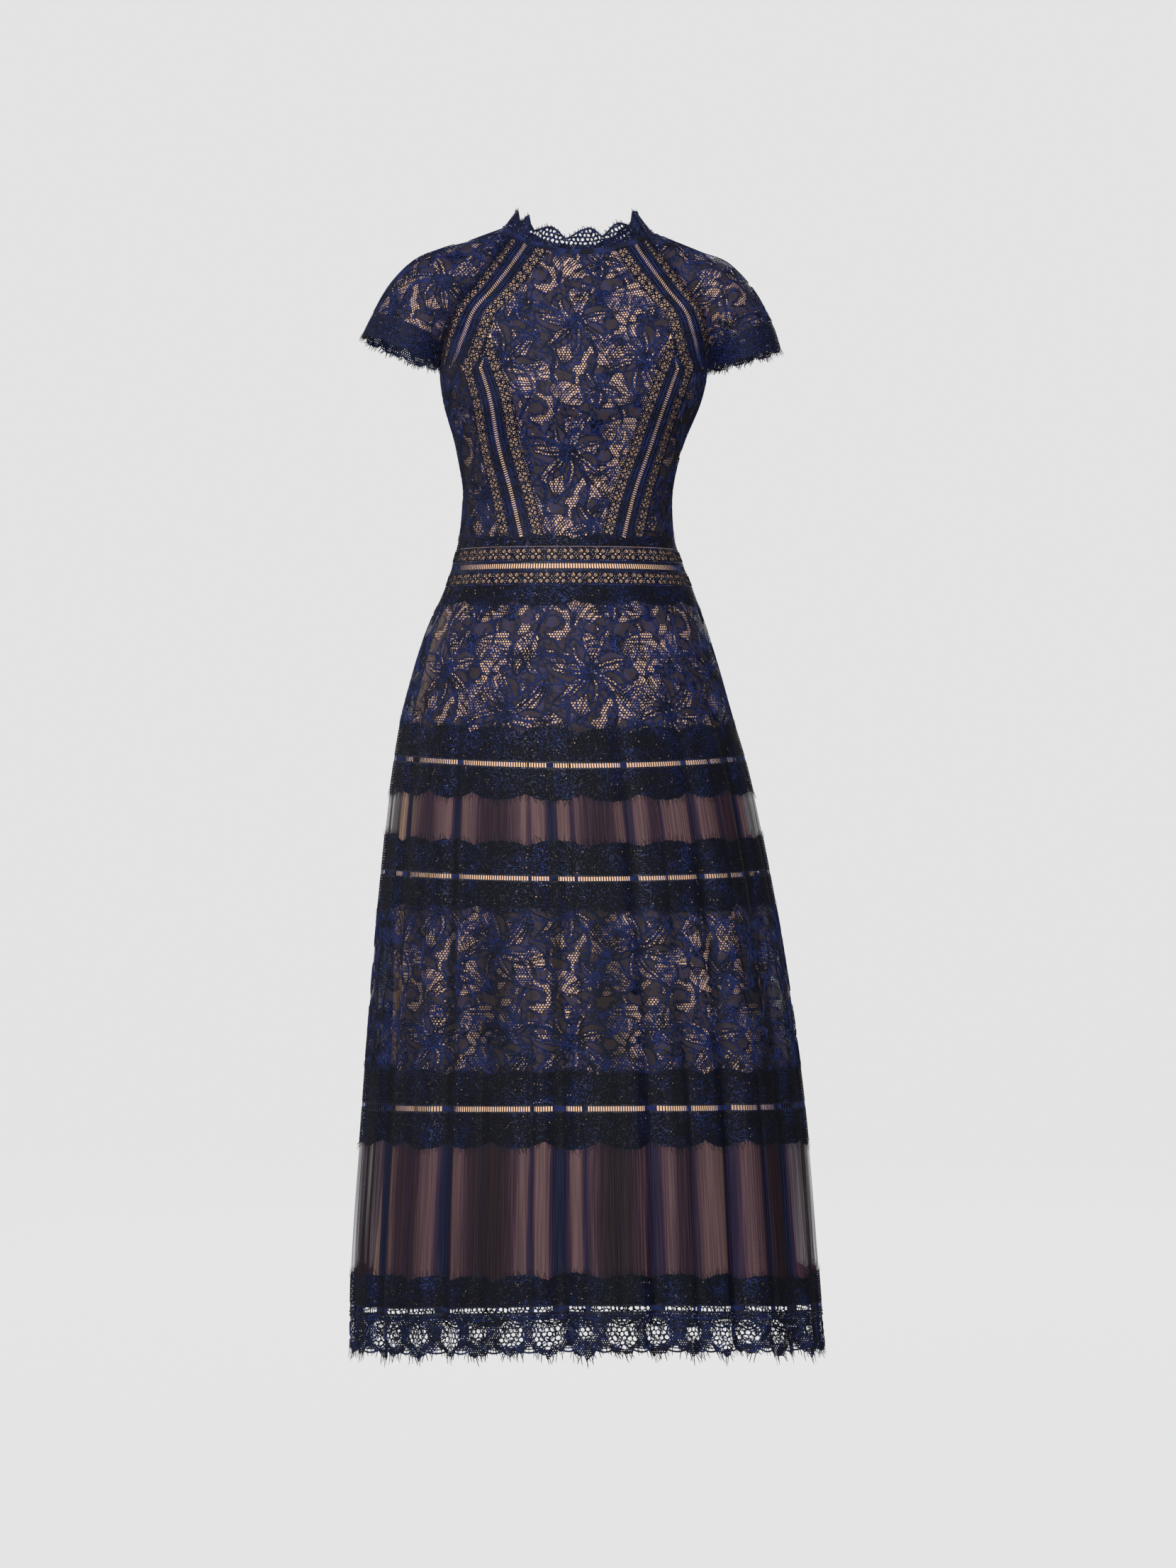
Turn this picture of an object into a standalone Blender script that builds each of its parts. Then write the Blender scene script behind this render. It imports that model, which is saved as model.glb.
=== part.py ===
import math

import bpy
import numpy as np

# The dress hangs as if worn. The origin is the middle of the shoulder line, +X is the
# wearer's left, the front faces -Y and +Z is up. All lengths are metres, and "down" is
# the distance below the origin.
WALL = 0.0012
LINING_WALL = 0.0010
SEAM = 0.0003
CURVED_SEAM = 0.0008
LINING_CLEARANCE = 0.0024

GALLOON = 0.014
LADDER = 0.022
RAGLAN_TRIM = 2 * GALLOON + LADDER

UNDERARM = 0.145
BODICE_END = 0.3295
ZIP_HALF_WIDTH = 0.0020
ZIP_END = 0.450
SLEEVE_END = 0.84
SLEEVE_STEP = 0.004
TRIM_END = 0.97
TRIM_INSET = 0.0015
LINING_TOP_ROW = 0.02
SLEEVE_LINING_TOP = 0.15
SLEEVE_LINING_INSET = 0.004
BODY_LINING_INSET = 0.003
LINING_SIDE_TURN = 0.02
LINING_END_LEVEL = 2.1
LINING_END = 0.3620
COLLAR_LEAN = 0.80
COLLAR_RISE = 0.0200
COLLAR_FRONT_EXTRA = 0.0040
COLLAR_SCALLOP = 0.0060
SCALLOP_WIDTH = 0.0390

SLIDER_LEVEL = 0.10
SLIDER_REACH = 0.04
SLIDER_STANDOFF = 0.0006
SLIDER_WIDTH = 0.0052
SLIDER_THICK = 0.0012
SLIDER_LENGTH = 0.0090
CHEEK = 0.0008
CHEEK_LENGTH = 0.0026
EYE_WIDTH = 0.0024
EYE_RADIUS = 0.0014
PIN_RADIUS = 0.0006
TAB_LENGTH = 0.0220
TAB_THICK = 0.0012

COLOURS = {
    "lace": (0.010, 0.016, 0.075),
    "trim": (0.004, 0.006, 0.030),
    "ladder": (0.012, 0.025, 0.110),
    "chiffon": (0.030, 0.028, 0.060),
    "lining": (0.560, 0.370, 0.240),
    "metal": (0.020, 0.022, 0.045),
}


def table(columns, *rows):
    return {name: np.array(values) for name, values in zip(columns, zip(*rows))}


# Level sections of the body and skirt. "square" is the exponent of the section's curve.
sections = table(
    ("down", "half_width", "front", "back", "shift", "front_rise", "square"),
    (0.145, 0.1465, 0.112, 0.092, -0.0020, 0.000, 2.0),
    (0.178, 0.1395, 0.118, 0.091, -0.0040, 0.000, 2.25),
    (0.225, 0.1235, 0.102, 0.087, -0.0070, 0.000, 2.2),
    (0.283, 0.1138, 0.093, 0.087, -0.0090, 0.000, 2.1),
    (0.330, 0.1180, 0.096, 0.092, -0.0097, 0.000, 2.0),
    (0.345, 0.1225, 0.099, 0.096, -0.0090, 0.000, 2.0),
    (0.380, 0.1345, 0.107, 0.108, -0.0074, 0.000, 2.0),
    (0.426, 0.1527, 0.121, 0.127, -0.0095, -0.002, 2.0),
    (0.504, 0.1763, 0.141, 0.150, -0.0097, -0.006, 2.0),
    (0.574, 0.1934, 0.156, 0.166, -0.0058, -0.0085, 2.0),
    (0.690, 0.2125, 0.174, 0.183, 0.0000, -0.005, 2.0),
    (0.806, 0.2275, 0.190, 0.198, 0.0050, 0.000, 2.0),
    (0.946, 0.2422, 0.207, 0.213, 0.0089, 0.006, 2.0),
    (1.132, 0.2562, 0.226, 0.229, 0.0105, 0.015, 2.0),
    (1.213, 0.2595, 0.232, 0.233, 0.0132, 0.016, 2.0),
)

# Troughs between the skirt's flutes. Angles are degrees from the middle of the front,
# positive towards +X. Each trough deepens from its start to its depth at the hem.
folds = table(
    ("angle", "half_angle", "depth", "start"),
    (-66, 6.0, 0.015, 0.42),
    (-42, 5.5, 0.016, 0.46),
    (-10, 5.0, 0.013, 0.47),
    (14, 5.0, 0.014, 0.42),
    (37, 6.0, 0.017, 0.45),
    (60, 6.5, 0.016, 0.43),
    (88, 5.5, 0.012, 0.48),
    (120, 6.0, 0.016, 0.44),
    (167, 5.0, 0.015, 0.47),
    (-162, 6.0, 0.016, 0.48),
    (-129, 5.5, 0.013, 0.45),
    (-96, 6.0, 0.015, 0.46),
)

# The seam between a sleeve and the body, from the neck (row 0) to the underarm (row 1).
# "arc" is the part of an ellipse, in degrees, that the body's row covers on each side.
seam = table(
    ("row", "x", "front_y", "back_y", "down", "arc"),
    (0.00, 0.0749, -0.028, 0.028, -0.0023, 65),
    (0.20, 0.0900, -0.042, 0.043, 0.0200, 66),
    (0.40, 0.1120, -0.056, 0.056, 0.0500, 68),
    (0.60, 0.1330, -0.056, 0.055, 0.0780, 72),
    (0.84, 0.1440, -0.034, 0.034, 0.1150, 80),
    (1.00, 0.1465, 0.000, 0.000, 0.1450, 90),
)

# The middle of the front and of the back, from the neck to the underarm.
middle = table(
    ("row", "front_y", "front_down", "back_y", "back_down", "shift"),
    (0.00, -0.0660, 0.0194, 0.0640, 0.0240, 0.0019),
    (0.20, -0.0785, 0.0450, 0.0770, 0.0480, 0.0010),
    (0.40, -0.0900, 0.0720, 0.0850, 0.0740, 0.0000),
    (0.60, -0.0990, 0.0970, 0.0890, 0.0980, -0.0008),
    (0.84, -0.1080, 0.1250, 0.0910, 0.1250, -0.0016),
    (1.00, -0.1120, 0.1450, 0.0920, 0.1450, -0.0020),
)

# The top line of each sleeve, and half the sleeve's depth from front to back.
shoulder = table(
    ("row", "right_x", "right_down", "left_x", "left_down", "arm"),
    (0.00, 0.0806, -0.0116, 0.0845, -0.0085, 0.0290),
    (0.20, 0.1130, 0.0004, 0.1070, 0.0010, 0.0470),
    (0.40, 0.1480, 0.0110, 0.1370, 0.0130, 0.0620),
    (0.60, 0.1800, 0.0260, 0.1700, 0.0270, 0.0670),
    (0.72, 0.2030, 0.0500, 0.1950, 0.0540, 0.0670),
    (0.84, 0.2209, 0.0806, 0.2150, 0.0890, 0.0650),
    (1.00, 0.2349, 0.1085, 0.2264, 0.1225, 0.0610),
)

# The princess seam: how far it lies from the middle of the front.
princess = table(
    ("down", "x"),
    (0.090, 0.1280),
    (0.122, 0.1150),
    (0.178, 0.0955),
    (0.231, 0.0815),
    (0.276, 0.0675),
    (0.330, 0.0545),
)

# The slip under the skirt hangs clear of the flutes.
slip = table(
    ("down", "half_width", "front", "back"),
    (0.3643, 0.1268, 0.0995, 0.0990),
    (0.3800, 0.1320, 0.1043, 0.1053),
    (0.4000, 0.1350, 0.1060, 0.1070),
    (0.4600, 0.1530, 0.1180, 0.1260),
    (0.6300, 0.1885, 0.1500, 0.1580),
    (0.9460, 0.2130, 0.1760, 0.1820),
    (1.1640, 0.2350, 0.2020, 0.2050),
)

# Each strip of the waistband and skirt, from the top down.
strips = (
    ("waist_edging_upper", "trim", 0.3298, 0.3380, ()),
    ("waist_galloon_upper", "lace", 0.3383, 0.3543, ()),
    ("waist_ladder", "ladder", 0.3546, 0.3643, ()),
    ("waist_galloon_lower", "lace", 0.3646, 0.3800, ()),
    ("waist_edging_lower", "trim", 0.3803, 0.3953, ()),
    ("skirt_lace_tier_1", "lace", 0.3962, 0.5340, (0.450, 0.495)),
    ("skirt_edging_1_upper", "trim", 0.5343, 0.5615, ()),
    ("skirt_ladder_1", "ladder", 0.5618, 0.5700, ()),
    ("skirt_edging_1_lower", "trim", 0.5703, 0.5955, ()),
    ("skirt_chiffon_tier_1", "chiffon", 0.5958, 0.6555, ()),
    ("skirt_edging_2_upper", "trim", 0.6558, 0.6853, ()),
    ("skirt_ladder_2", "ladder", 0.6856, 0.6938, ()),
    ("skirt_edging_2_lower", "trim", 0.6941, 0.7195, ()),
    ("skirt_lace_tier_2", "lace", 0.7198, 0.9070, (0.810,)),
    ("skirt_edging_3_upper", "trim", 0.9073, 0.9380, ()),
    ("skirt_ladder_3", "ladder", 0.9383, 0.9473, ()),
    ("skirt_edging_3_lower", "trim", 0.9476, 0.9767, ()),
    ("skirt_chiffon_tier_2", "chiffon", 0.9770, 1.1318, (1.050,)),
    ("skirt_edging_4_upper", "trim", 1.1321, 1.1570, ()),
    ("skirt_ladder_4", "ladder", 1.1573, 1.1660, ()),
    ("skirt_hem_lace", "trim", 1.1663, 1.2130, ()),
)
HEM = 1.2130

WIDEST_FLUTE = 24
WAIST_COLUMNS = 26
SLIP_COLUMNS = 22
CENTER_COLUMNS = 8
SIDE_COLUMNS = 4
BACK_COLUMNS = 5
LINING_COLUMNS = 12
SLEEVE_COLUMNS = 10
SLEEVE_ROWS = 5
TRIM_ROWS = 2
COLLAR_FRONT_POINTS = 9
COLLAR_SIDE_POINTS = 6
ROW_SAMPLES = 49
SHOULDER_ROWS = (0.0, 0.2, 0.4, 0.6, 0.8, 1.0)
BODY_LEVELS = (1.2, 1.4, 1.7, 2.0)
SIDE_TOP_LEVEL = 1.005
TRIM_LEVELS = (0.0, 0.2, 0.4, 0.6, 0.8, 0.9, 1.0)
ZIP_SKIRT_ROWS = (0.338, 0.3545, 0.380, 0.3962)
SLIP_ROWS = (0.3643, 0.380, 0.400, 0.460, 0.540, 0.630, 0.788, 0.946, 1.164)
# A step along a row near the princess seam is this much longer than one square to it.
PRINCESS_SLANT = 1.05
# The raglan seam's slant is measured over this span of rows, and kept below its limit.
SLANT_SPAN = 0.05
LEAST_SQUARED_SINE = 0.3
MOST_SLANT = 1.6


def along(rows, name, at):
    """A smooth value of one column, at a place along the table's first column."""
    places = next(iter(rows.values()))
    values = rows[name]
    steps = np.diff(places)
    rates = np.diff(values) / steps
    slopes = np.concatenate(([rates[0]], (rates[:-1] + rates[1:]) / 2, [rates[-1]]))
    turning = rates[:-1] * rates[1:] <= 0
    slopes[1:-1][turning] = 0.0
    k = int(np.clip(np.searchsorted(places, at) - 1, 0, len(steps) - 1))
    t = float(np.clip((at - places[k]) / steps[k], 0.0, 1.0))
    start = (2 * t**3 - 3 * t**2 + 1) * values[k] + (t**3 - 2 * t**2 + t) * steps[k] * slopes[k]
    end = (3 * t**2 - 2 * t**3) * values[k + 1] + (t**3 - t**2) * steps[k] * slopes[k + 1]
    return float(start + end)


def fold_depth(down, angle):
    """How far the skirt is drawn in at this angle by its troughs."""
    depth = 0.0
    for at, half, deepest, start in zip(*folds.values()):
        grown = min(max((down - start) / (HEM - start), 0.0), 1.0) ** 0.8
        apart = abs((math.degrees(angle) - at + 180) % 360 - 180) / half
        if apart < 1:
            depth += deepest * grown * math.cos(math.pi / 2 * apart) ** 2
    return depth


def ring_point(down, angle, folded=True):
    """A point of the outer cloth at a level below the underarm."""
    power = 2 / along(sections, "square", down)
    across = math.copysign(abs(math.sin(angle)) ** power, math.sin(angle))
    forward = math.copysign(abs(math.cos(angle)) ** power, math.cos(angle))
    deep = along(sections, "front" if forward > 0 else "back", down)
    drawn_in = fold_depth(down, angle) if folded else 0.0
    x = (along(sections, "half_width", down) - drawn_in) * across
    y = -(deep - drawn_in) * forward
    rise = along(sections, "front_rise", down) * max(forward, 0.0) ** 2
    return (x + along(sections, "shift", down), y, rise - down)


def half_row(level, back):
    """Points from the middle to the side on +X, without shift. Levels 0 to 1 run from the
    neck to the underarm, and 1 to 2 from there to the waistband."""
    if level > 1:
        down = UNDERARM + (level - 1) * (BODICE_END - UNDERARM)
        angles = np.linspace(math.pi if back else 0.0, math.pi / 2, ROW_SAMPLES)
        points = np.array([ring_point(down, angle) for angle in angles])
        return points - [along(sections, "shift", down), 0, 0]
    face = "back" if back else "front"
    arc = math.radians(along(seam, "arc", level))
    angles = np.linspace(0, arc, ROW_SAMPLES)
    side_y = along(seam, face + "_y", level)
    middle_y = along(middle, face + "_y", level)
    across = np.sin(angles) / math.sin(arc)
    turned = (1 - np.cos(angles)) / (1 - math.cos(arc))
    middle_down = along(middle, face + "_down", level)
    drop = middle_down + (along(seam, "down", level) - middle_down) * across**2
    return np.column_stack(
        [along(seam, "x", level) * across, middle_y + (side_y - middle_y) * turned, -drop]
    )


def shift_of(level):
    if level > 1:
        return along(sections, "shift", UNDERARM + (level - 1) * (BODICE_END - UNDERARM))
    return along(middle, "shift", level)


def lengths(points):
    """Distance run to each point from the first."""
    return np.concatenate(([0.0], np.cumsum(np.linalg.norm(np.diff(points, axis=0), axis=1))))


def walk(points, distance):
    """The point that lies this far along a run of points."""
    run = lengths(points)
    return np.array([np.interp(distance, run, points[:, axis]) for axis in range(3)])


def on_body(level, side, distance, back=False):
    """A point on the body's row, this far from its middle."""
    x, y, z = walk(half_row(level, back), distance)
    return (side * x + shift_of(level), y, z)


def row_length(level, back=False):
    return lengths(half_row(level, back))[-1]


def slant(level):
    """How much longer a step along the row is than one square to the raglan seam."""
    low, high = max(level - SLANT_SPAN, 0.0), min(level + SLANT_SPAN, 1.0)
    run = half_row(high, False)[-1] - half_row(low, False)[-1]
    row = half_row(level, False)
    step = row[-1] - row[-2]
    cosine = abs(run @ step) / np.linalg.norm(run) / np.linalg.norm(step)
    return min(1 / math.sqrt(max(1 - cosine**2, LEAST_SQUARED_SINE)), MOST_SLANT)


def raglan_edge(level, inward):
    """Distance from the middle of the front to a line that lies inside the raglan seam."""
    return row_length(level) - inward * slant(level)


def princess_edge(level, outward):
    """Distance from the middle of the front to a line beside the princess seam."""
    row = half_row(level, False)
    down = -row[ROW_SAMPLES // 2][2]
    at = np.interp(along(princess, "x", down), row[:, 0], lengths(row))
    return at + outward * PRINCESS_SLANT


def open_edge(level, outward):
    """A princess line, stopped where the raglan trim crosses it."""
    if level > 1:
        return princess_edge(level, outward)
    return min(princess_edge(level, outward), raglan_edge(level, RAGLAN_TRIM + SEAM))


def first_level(inward, outward, least=0.003):
    """The highest level at which a princess strip is wide enough to cut."""
    for level in np.arange(0.5, 1.2, 0.01):
        if open_edge(level, outward) - open_edge(level, inward) > least:
            return float(level)
    return 1.2


def levels_from(start):
    wanted = [row for row in (0.7, 0.85, 1.0) if row > start + 0.06]
    return [start, *wanted, *BODY_LEVELS]


def sleeve_arch(row, side):
    """Points over one sleeve, from its seam with the front to its seam with the back."""
    name = "left" if side > 0 else "right"
    foot = np.array([along(seam, "x", row), 0, -along(seam, "down", row)])
    top = np.array([along(shoulder, name + "_x", row), 0, -along(shoulder, name + "_down", row)])
    foot[0] += side * along(middle, "shift", row)
    reach = np.linalg.norm(top - foot)
    rise = (top - foot) / reach
    halves = []
    for face, sign in (("front_y", -1), ("back_y", 1)):
        arm = max(along(shoulder, "arm", row), abs(along(seam, face, row)) * 1.001)
        low = math.acos(min(abs(along(seam, face, row)) / arm, 1.0))
        half_height = reach / (1 + math.sin(low))
        angles = np.linspace(-low, math.pi / 2, ROW_SAMPLES)
        centre = top - half_height * rise
        half = centre + np.outer(np.sin(angles) * half_height, rise)
        half[:, 1] += sign * arm * np.cos(angles)
        halves.append(half)
    arch = np.vstack([halves[0], halves[1][-2::-1]])
    return arch * [side, 1, 1]


def spread(start, end, count):
    return np.linspace(start, end, count + 1)


def new_material(name, kind):
    material = bpy.data.materials.new(name)
    material.use_nodes = True
    shader = material.node_tree.nodes["Principled BSDF"]
    shader.inputs["Base Color"].default_value = (*COLOURS[kind], 1.0)
    shader.inputs["Roughness"].default_value = 0.35 if kind == "metal" else 0.8
    shader.inputs["Metallic"].default_value = 1.0 if kind == "metal" else 0.0
    return material


def add_object(name, mesh, kind, collection):
    piece = bpy.data.objects.new(name, mesh)
    mesh.materials.append(new_material(name, kind))
    collection.objects.link(piece)
    return piece


def cloth(name, grid, kind, collection, closed=False, inward=0.0, thick=WALL):
    """A wall of cloth whose outer face passes through a grid of points, row by row from
    the top, each row running towards +X on the front."""
    rows, columns = len(grid), len(grid[0])
    points = [tuple(point) for row in grid for point in row]
    spans = columns if closed else columns - 1
    faces = []
    for i in range(rows - 1):
        for j in range(spans):
            k = (j + 1) % columns
            faces.append((i * columns + j, (i + 1) * columns + j,
                          (i + 1) * columns + k, i * columns + k))
    mesh = bpy.data.meshes.new(name)
    mesh.from_pydata(points, [], faces)
    mesh.shade_smooth()
    piece = add_object(name, mesh, kind, collection)
    wall = piece.modifiers.new("wall", "SOLIDIFY")
    wall.thickness = thick
    wall.offset = -1 - 2 * inward / thick
    wall.use_even_offset = True
    return piece


def fold_angles():
    """Three angles for each trough, its edges and bottom, and one in each wide flute."""
    angles = []
    for at, half in zip(folds["angle"], folds["half_angle"]):
        angles += [at - half, at, at + half]
    angles.sort()
    for low, high in list(zip(angles, angles[1:])):
        if high - low > WIDEST_FLUTE:
            angles.append((low + high) / 2)
    return [math.radians(angle) for angle in sorted(angles)]


def waist_angles(down):
    """Angles right round, stopped at the zip on both sides."""
    gap = (ZIP_HALF_WIDTH + SEAM) / along(sections, "back", down)
    return spread(-math.pi + gap, math.pi - gap, WAIST_COLUMNS)


def make_strips(collection):
    for name, kind, top, bottom, between in strips:
        levels = (top, *between, bottom)
        if name.startswith("waist"):
            grid = [[ring_point(d, a, False) for a in waist_angles(d)] for d in levels]
            cloth(name, grid, kind, collection)
        elif top < ZIP_END:
            cloth(name, slit_grid(levels), kind, collection)
        else:
            grid = [[ring_point(d, a) for a in fold_angles()] for d in levels]
            cloth(name, grid, kind, collection, closed=True)


def slit_grid(levels):
    """Rows of the first tier, whose edges meet behind and part round the foot of the zip."""
    grid = []
    for down in levels:
        half_gap = ZIP_HALF_WIDTH + SEAM if down <= ZIP_END else SEAM / 2
        gap = half_gap / along(sections, "back", down)
        angles = [-math.pi + gap, *fold_angles(), math.pi - gap]
        grid.append([ring_point(down, angle) for angle in angles])
    return grid


def make_front(collection):
    edge = GALLOON + LADDER / 2
    rows = [*SHOULDER_ROWS, *BODY_LEVELS]
    grid = []
    for level in rows:
        limit = princess_edge(level, -edge - SEAM)
        if level <= 1:
            limit = min(limit, raglan_edge(level, RAGLAN_TRIM + SEAM))
        grid.append([
            on_body(level, math.copysign(1, distance), abs(distance))
            for distance in spread(-limit, limit, CENTER_COLUMNS)
        ])
    cloth("bodice_front_center", grid, "lace", collection)

    for side, name in ((-1, "right"), (1, "left")):
        grid = []
        for level in (SIDE_TOP_LEVEL, *BODY_LEVELS):
            near = princess_edge(level, edge)
            far = row_length(level) - CURVED_SEAM / 2
            row = [on_body(level, side, distance) for distance in spread(near, far, SIDE_COLUMNS)]
            grid.append(row[::side])
        cloth(f"bodice_front_side_{name}", grid, "lace", collection)


def make_back(collection):
    for side, name in ((-1, "right"), (1, "left")):
        grid = []
        for level in (*SHOULDER_ROWS, *BODY_LEVELS):
            far = row_length(level, True) - CURVED_SEAM / 2
            near = ZIP_HALF_WIDTH + SEAM
            row = [on_body(level, side, d, True) for d in spread(near, far, BACK_COLUMNS)]
            grid.append(row[::-side])
        cloth(f"bodice_back_{name}", grid, "lace", collection)


def lining_row(level, back, side, far_gap, count):
    """A row of the lining's pattern, from one edge to the other."""
    if level > 2:
        down = LINING_END
        if back:
            gap = ZIP_HALF_WIDTH / along(sections, "back", down)
            turns = spread(math.pi - gap, math.pi / 2 + LINING_SIDE_TURN, count)
            return [ring_point(down, side * turn, False) for turn in turns]
        half = math.pi / 2 - LINING_SIDE_TURN
        turns = spread(-half, half, count)
        return [ring_point(down, turn, False) for turn in turns]
    far = row_length(level, back) - far_gap
    if back:
        return [on_body(level, side, d, True) for d in spread(ZIP_HALF_WIDTH + SEAM, far, count)]
    return [
        on_body(level, math.copysign(1, distance), abs(distance))
        for distance in spread(-far, far, count)
    ]


def make_body_lining(collection):
    inward = WALL + LINING_CLEARANCE
    levels = (LINING_TOP_ROW, *SHOULDER_ROWS[1:], *BODY_LEVELS, LINING_END_LEVEL)
    gaps = [BODY_LINING_INSET if level <= 1 else 2 * CURVED_SEAM for level in levels]
    rows = [lining_row(level, False, 1, gap, LINING_COLUMNS) for level, gap in zip(levels, gaps)]
    cloth("bodice_lining_front", rows, "lining", collection, False, inward, LINING_WALL)
    for side, name in ((-1, "right"), (1, "left")):
        rows = [
            lining_row(level, True, side, gap, BACK_COLUMNS)[::-side]
            for level, gap in zip(levels, gaps)
        ]
        cloth(f"bodice_lining_back_{name}", rows, "lining", collection, False, inward, LINING_WALL)


def make_slip(collection):
    """The slip that hangs inside the skirt from the waistband, slit at the zip."""
    grid = []
    for down in SLIP_ROWS:
        half_gap = ZIP_HALF_WIDTH + SEAM if down < ZIP_END + 2 * SLIDER_LENGTH else SEAM / 2
        gap = half_gap / along(slip, "back", down)
        row = []
        for angle in spread(-math.pi + gap, math.pi - gap, SLIP_COLUMNS):
            deep = along(slip, "front" if math.cos(angle) > 0 else "back", down)
            x = along(slip, "half_width", down) * math.sin(angle)
            rise = along(sections, "front_rise", down) * max(math.cos(angle), 0.0) ** 2
            row.append((x + along(sections, "shift", down), -deep * math.cos(angle), rise - down))
        grid.append(row)
    cloth("skirt_lining", grid, "lining", collection, thick=LINING_WALL)


def arch_row(row, side, inset, count):
    """Points over a sleeve, kept this far from its front and its back seam."""
    arch = sleeve_arch(row, side)
    points = [walk(arch, d) for d in spread(inset, lengths(arch)[-1] - inset, count)]
    return points[::side]


def make_sleeves(collection):
    for side, name in ((-1, "right"), (1, "left")):
        rows = spread(0.0, SLEEVE_END - SLEEVE_STEP, SLEEVE_ROWS)
        grid = [arch_row(row, side, CURVED_SEAM, SLEEVE_COLUMNS) for row in rows]
        cloth(f"sleeve_{name}", grid, "lace", collection)
        rows = [SLEEVE_LINING_TOP, *rows[1:]]
        grid = [arch_row(row, side, SLEEVE_LINING_INSET, SLEEVE_COLUMNS) for row in rows]
        inward = WALL + LINING_CLEARANCE
        cloth(f"sleeve_lining_{name}", grid, "lining", collection, False, inward, LINING_WALL)
        rows = spread(SLEEVE_END, TRIM_END, TRIM_ROWS)
        grid = [arch_row(row, side, TRIM_INSET, SLEEVE_COLUMNS) for row in rows]
        cloth(f"sleeve_hem_trim_{name}", grid, "trim", collection)


def neck_ring():
    """Points of the neck seam from the zip, round by the right and the front."""
    front = half_row(0.0, False)
    back = half_row(0.0, True)
    shift = shift_of(0.0)
    ring = []
    for side in (-1, 1):
        arch = sleeve_arch(0.0, side)
        from_zip = spread(ZIP_HALF_WIDTH + SEAM, lengths(back)[-1], BACK_COLUMNS)
        half = [walk(back, d) * [side, 1, 1] + [shift, 0, 0] for d in from_zip]
        over_sleeve = spread(lengths(arch)[-1], 0, COLLAR_SIDE_POINTS)[1:-1]
        half += [walk(arch, d) for d in over_sleeve]
        to_middle = [walk(front, d) for d in spread(lengths(front)[-1], 0, COLLAR_FRONT_POINTS)]
        half += [point * [side, 1, 1] + [shift, 0, 0] for point in to_middle]
        ring.append(half)
    return ring[0] + ring[1][-2::-1]


def make_collar(collection):
    low = [np.array(point) + [0, 0, CURVED_SEAM] for point in neck_ring()]
    high = []
    run = lengths(np.array(low))
    for point, distance in zip(low, run):
        turned = math.atan2(point[0], -point[1])
        forward = max(math.cos(turned), 0.0)
        from_middle = distance - run[-1] / 2
        scallop = COLLAR_SCALLOP * abs(math.cos(math.pi * from_middle / SCALLOP_WIDTH))
        rise = COLLAR_RISE + COLLAR_FRONT_EXTRA * forward**2 + scallop * forward
        high.append(point * [COLLAR_LEAN, COLLAR_LEAN, 1] + [0, 0, rise])
    cloth("collar", [high, low], "trim", collection)


def make_zip(collection):
    """The concealed zip at the middle of the back, shown as its closed strip."""
    grid = []
    for level in (LINING_TOP_ROW, *SHOULDER_ROWS[1:], *BODY_LEVELS):
        grid.append([on_body(level, side, ZIP_HALF_WIDTH, True) for side in (1, -1)])
    for down in (*ZIP_SKIRT_ROWS, ZIP_END - SEAM):
        turn = ZIP_HALF_WIDTH / along(sections, "back", down)
        grid.append([ring_point(down, side * (math.pi - turn)) for side in (1, -1)])
    cloth("back_zip", grid, "trim", collection)


def make_trims(collection):
    """Galloon, ladder and galloon along each raglan and princess seam of the front."""
    parts = (
        ("galloon_inner", "lace", 0.0, GALLOON),
        ("ladder", "ladder", GALLOON, GALLOON + LADDER),
        ("galloon_outer", "lace", GALLOON + LADDER, RAGLAN_TRIM),
    )
    for side, name in ((-1, "right"), (1, "left")):
        for part, kind, start, end in parts:
            grid = []
            for level in TRIM_LEVELS:
                near = raglan_edge(level, RAGLAN_TRIM - start)
                far = raglan_edge(level, RAGLAN_TRIM - end + SEAM)
                row = [on_body(level, side, near), on_body(level, side, far)]
                grid.append(row[::side])
            cloth(f"raglan_{part}_{name}", grid, kind, collection)

            half = RAGLAN_TRIM / 2
            grid = []
            for level in levels_from(first_level(start - half, end - half)):
                near = open_edge(level, start - half)
                far = open_edge(level, end - half - SEAM)
                row = [on_body(level, side, near), on_body(level, side, far)]
                grid.append(row[::side])
            cloth(f"princess_{part}_{name}", grid, kind, collection)


def place(piece, name, mount, collection):
    """Renames a new primitive, hangs it on the slider's mount and moves it to a collection."""
    piece.name = name
    piece.parent = mount
    for owner in list(piece.users_collection):
        owner.objects.unlink(piece)
    collection.objects.link(piece)
    return piece


def box_on(mount, name, size, centre, collection):
    bpy.ops.mesh.primitive_cube_add(size=1, location=centre)
    piece = bpy.context.object
    piece.scale = size
    bpy.ops.object.transform_apply(location=False, rotation=False, scale=True)
    return place(piece, name, mount, collection)


def rod_on(mount, name, radius, length, centre, collection):
    """A round rod along X."""
    bpy.ops.mesh.primitive_cylinder_add(
        vertices=16, radius=radius, depth=length, location=centre, rotation=(0, math.pi / 2, 0)
    )
    return place(bpy.context.object, name, mount, collection)


def combine(piece, other, operation):
    step = piece.modifiers.new(other.name, "BOOLEAN")
    step.operation = operation
    step.object = other
    step.solver = "EXACT"
    other.hide_render = True
    other.display_type = "WIRE"


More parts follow.
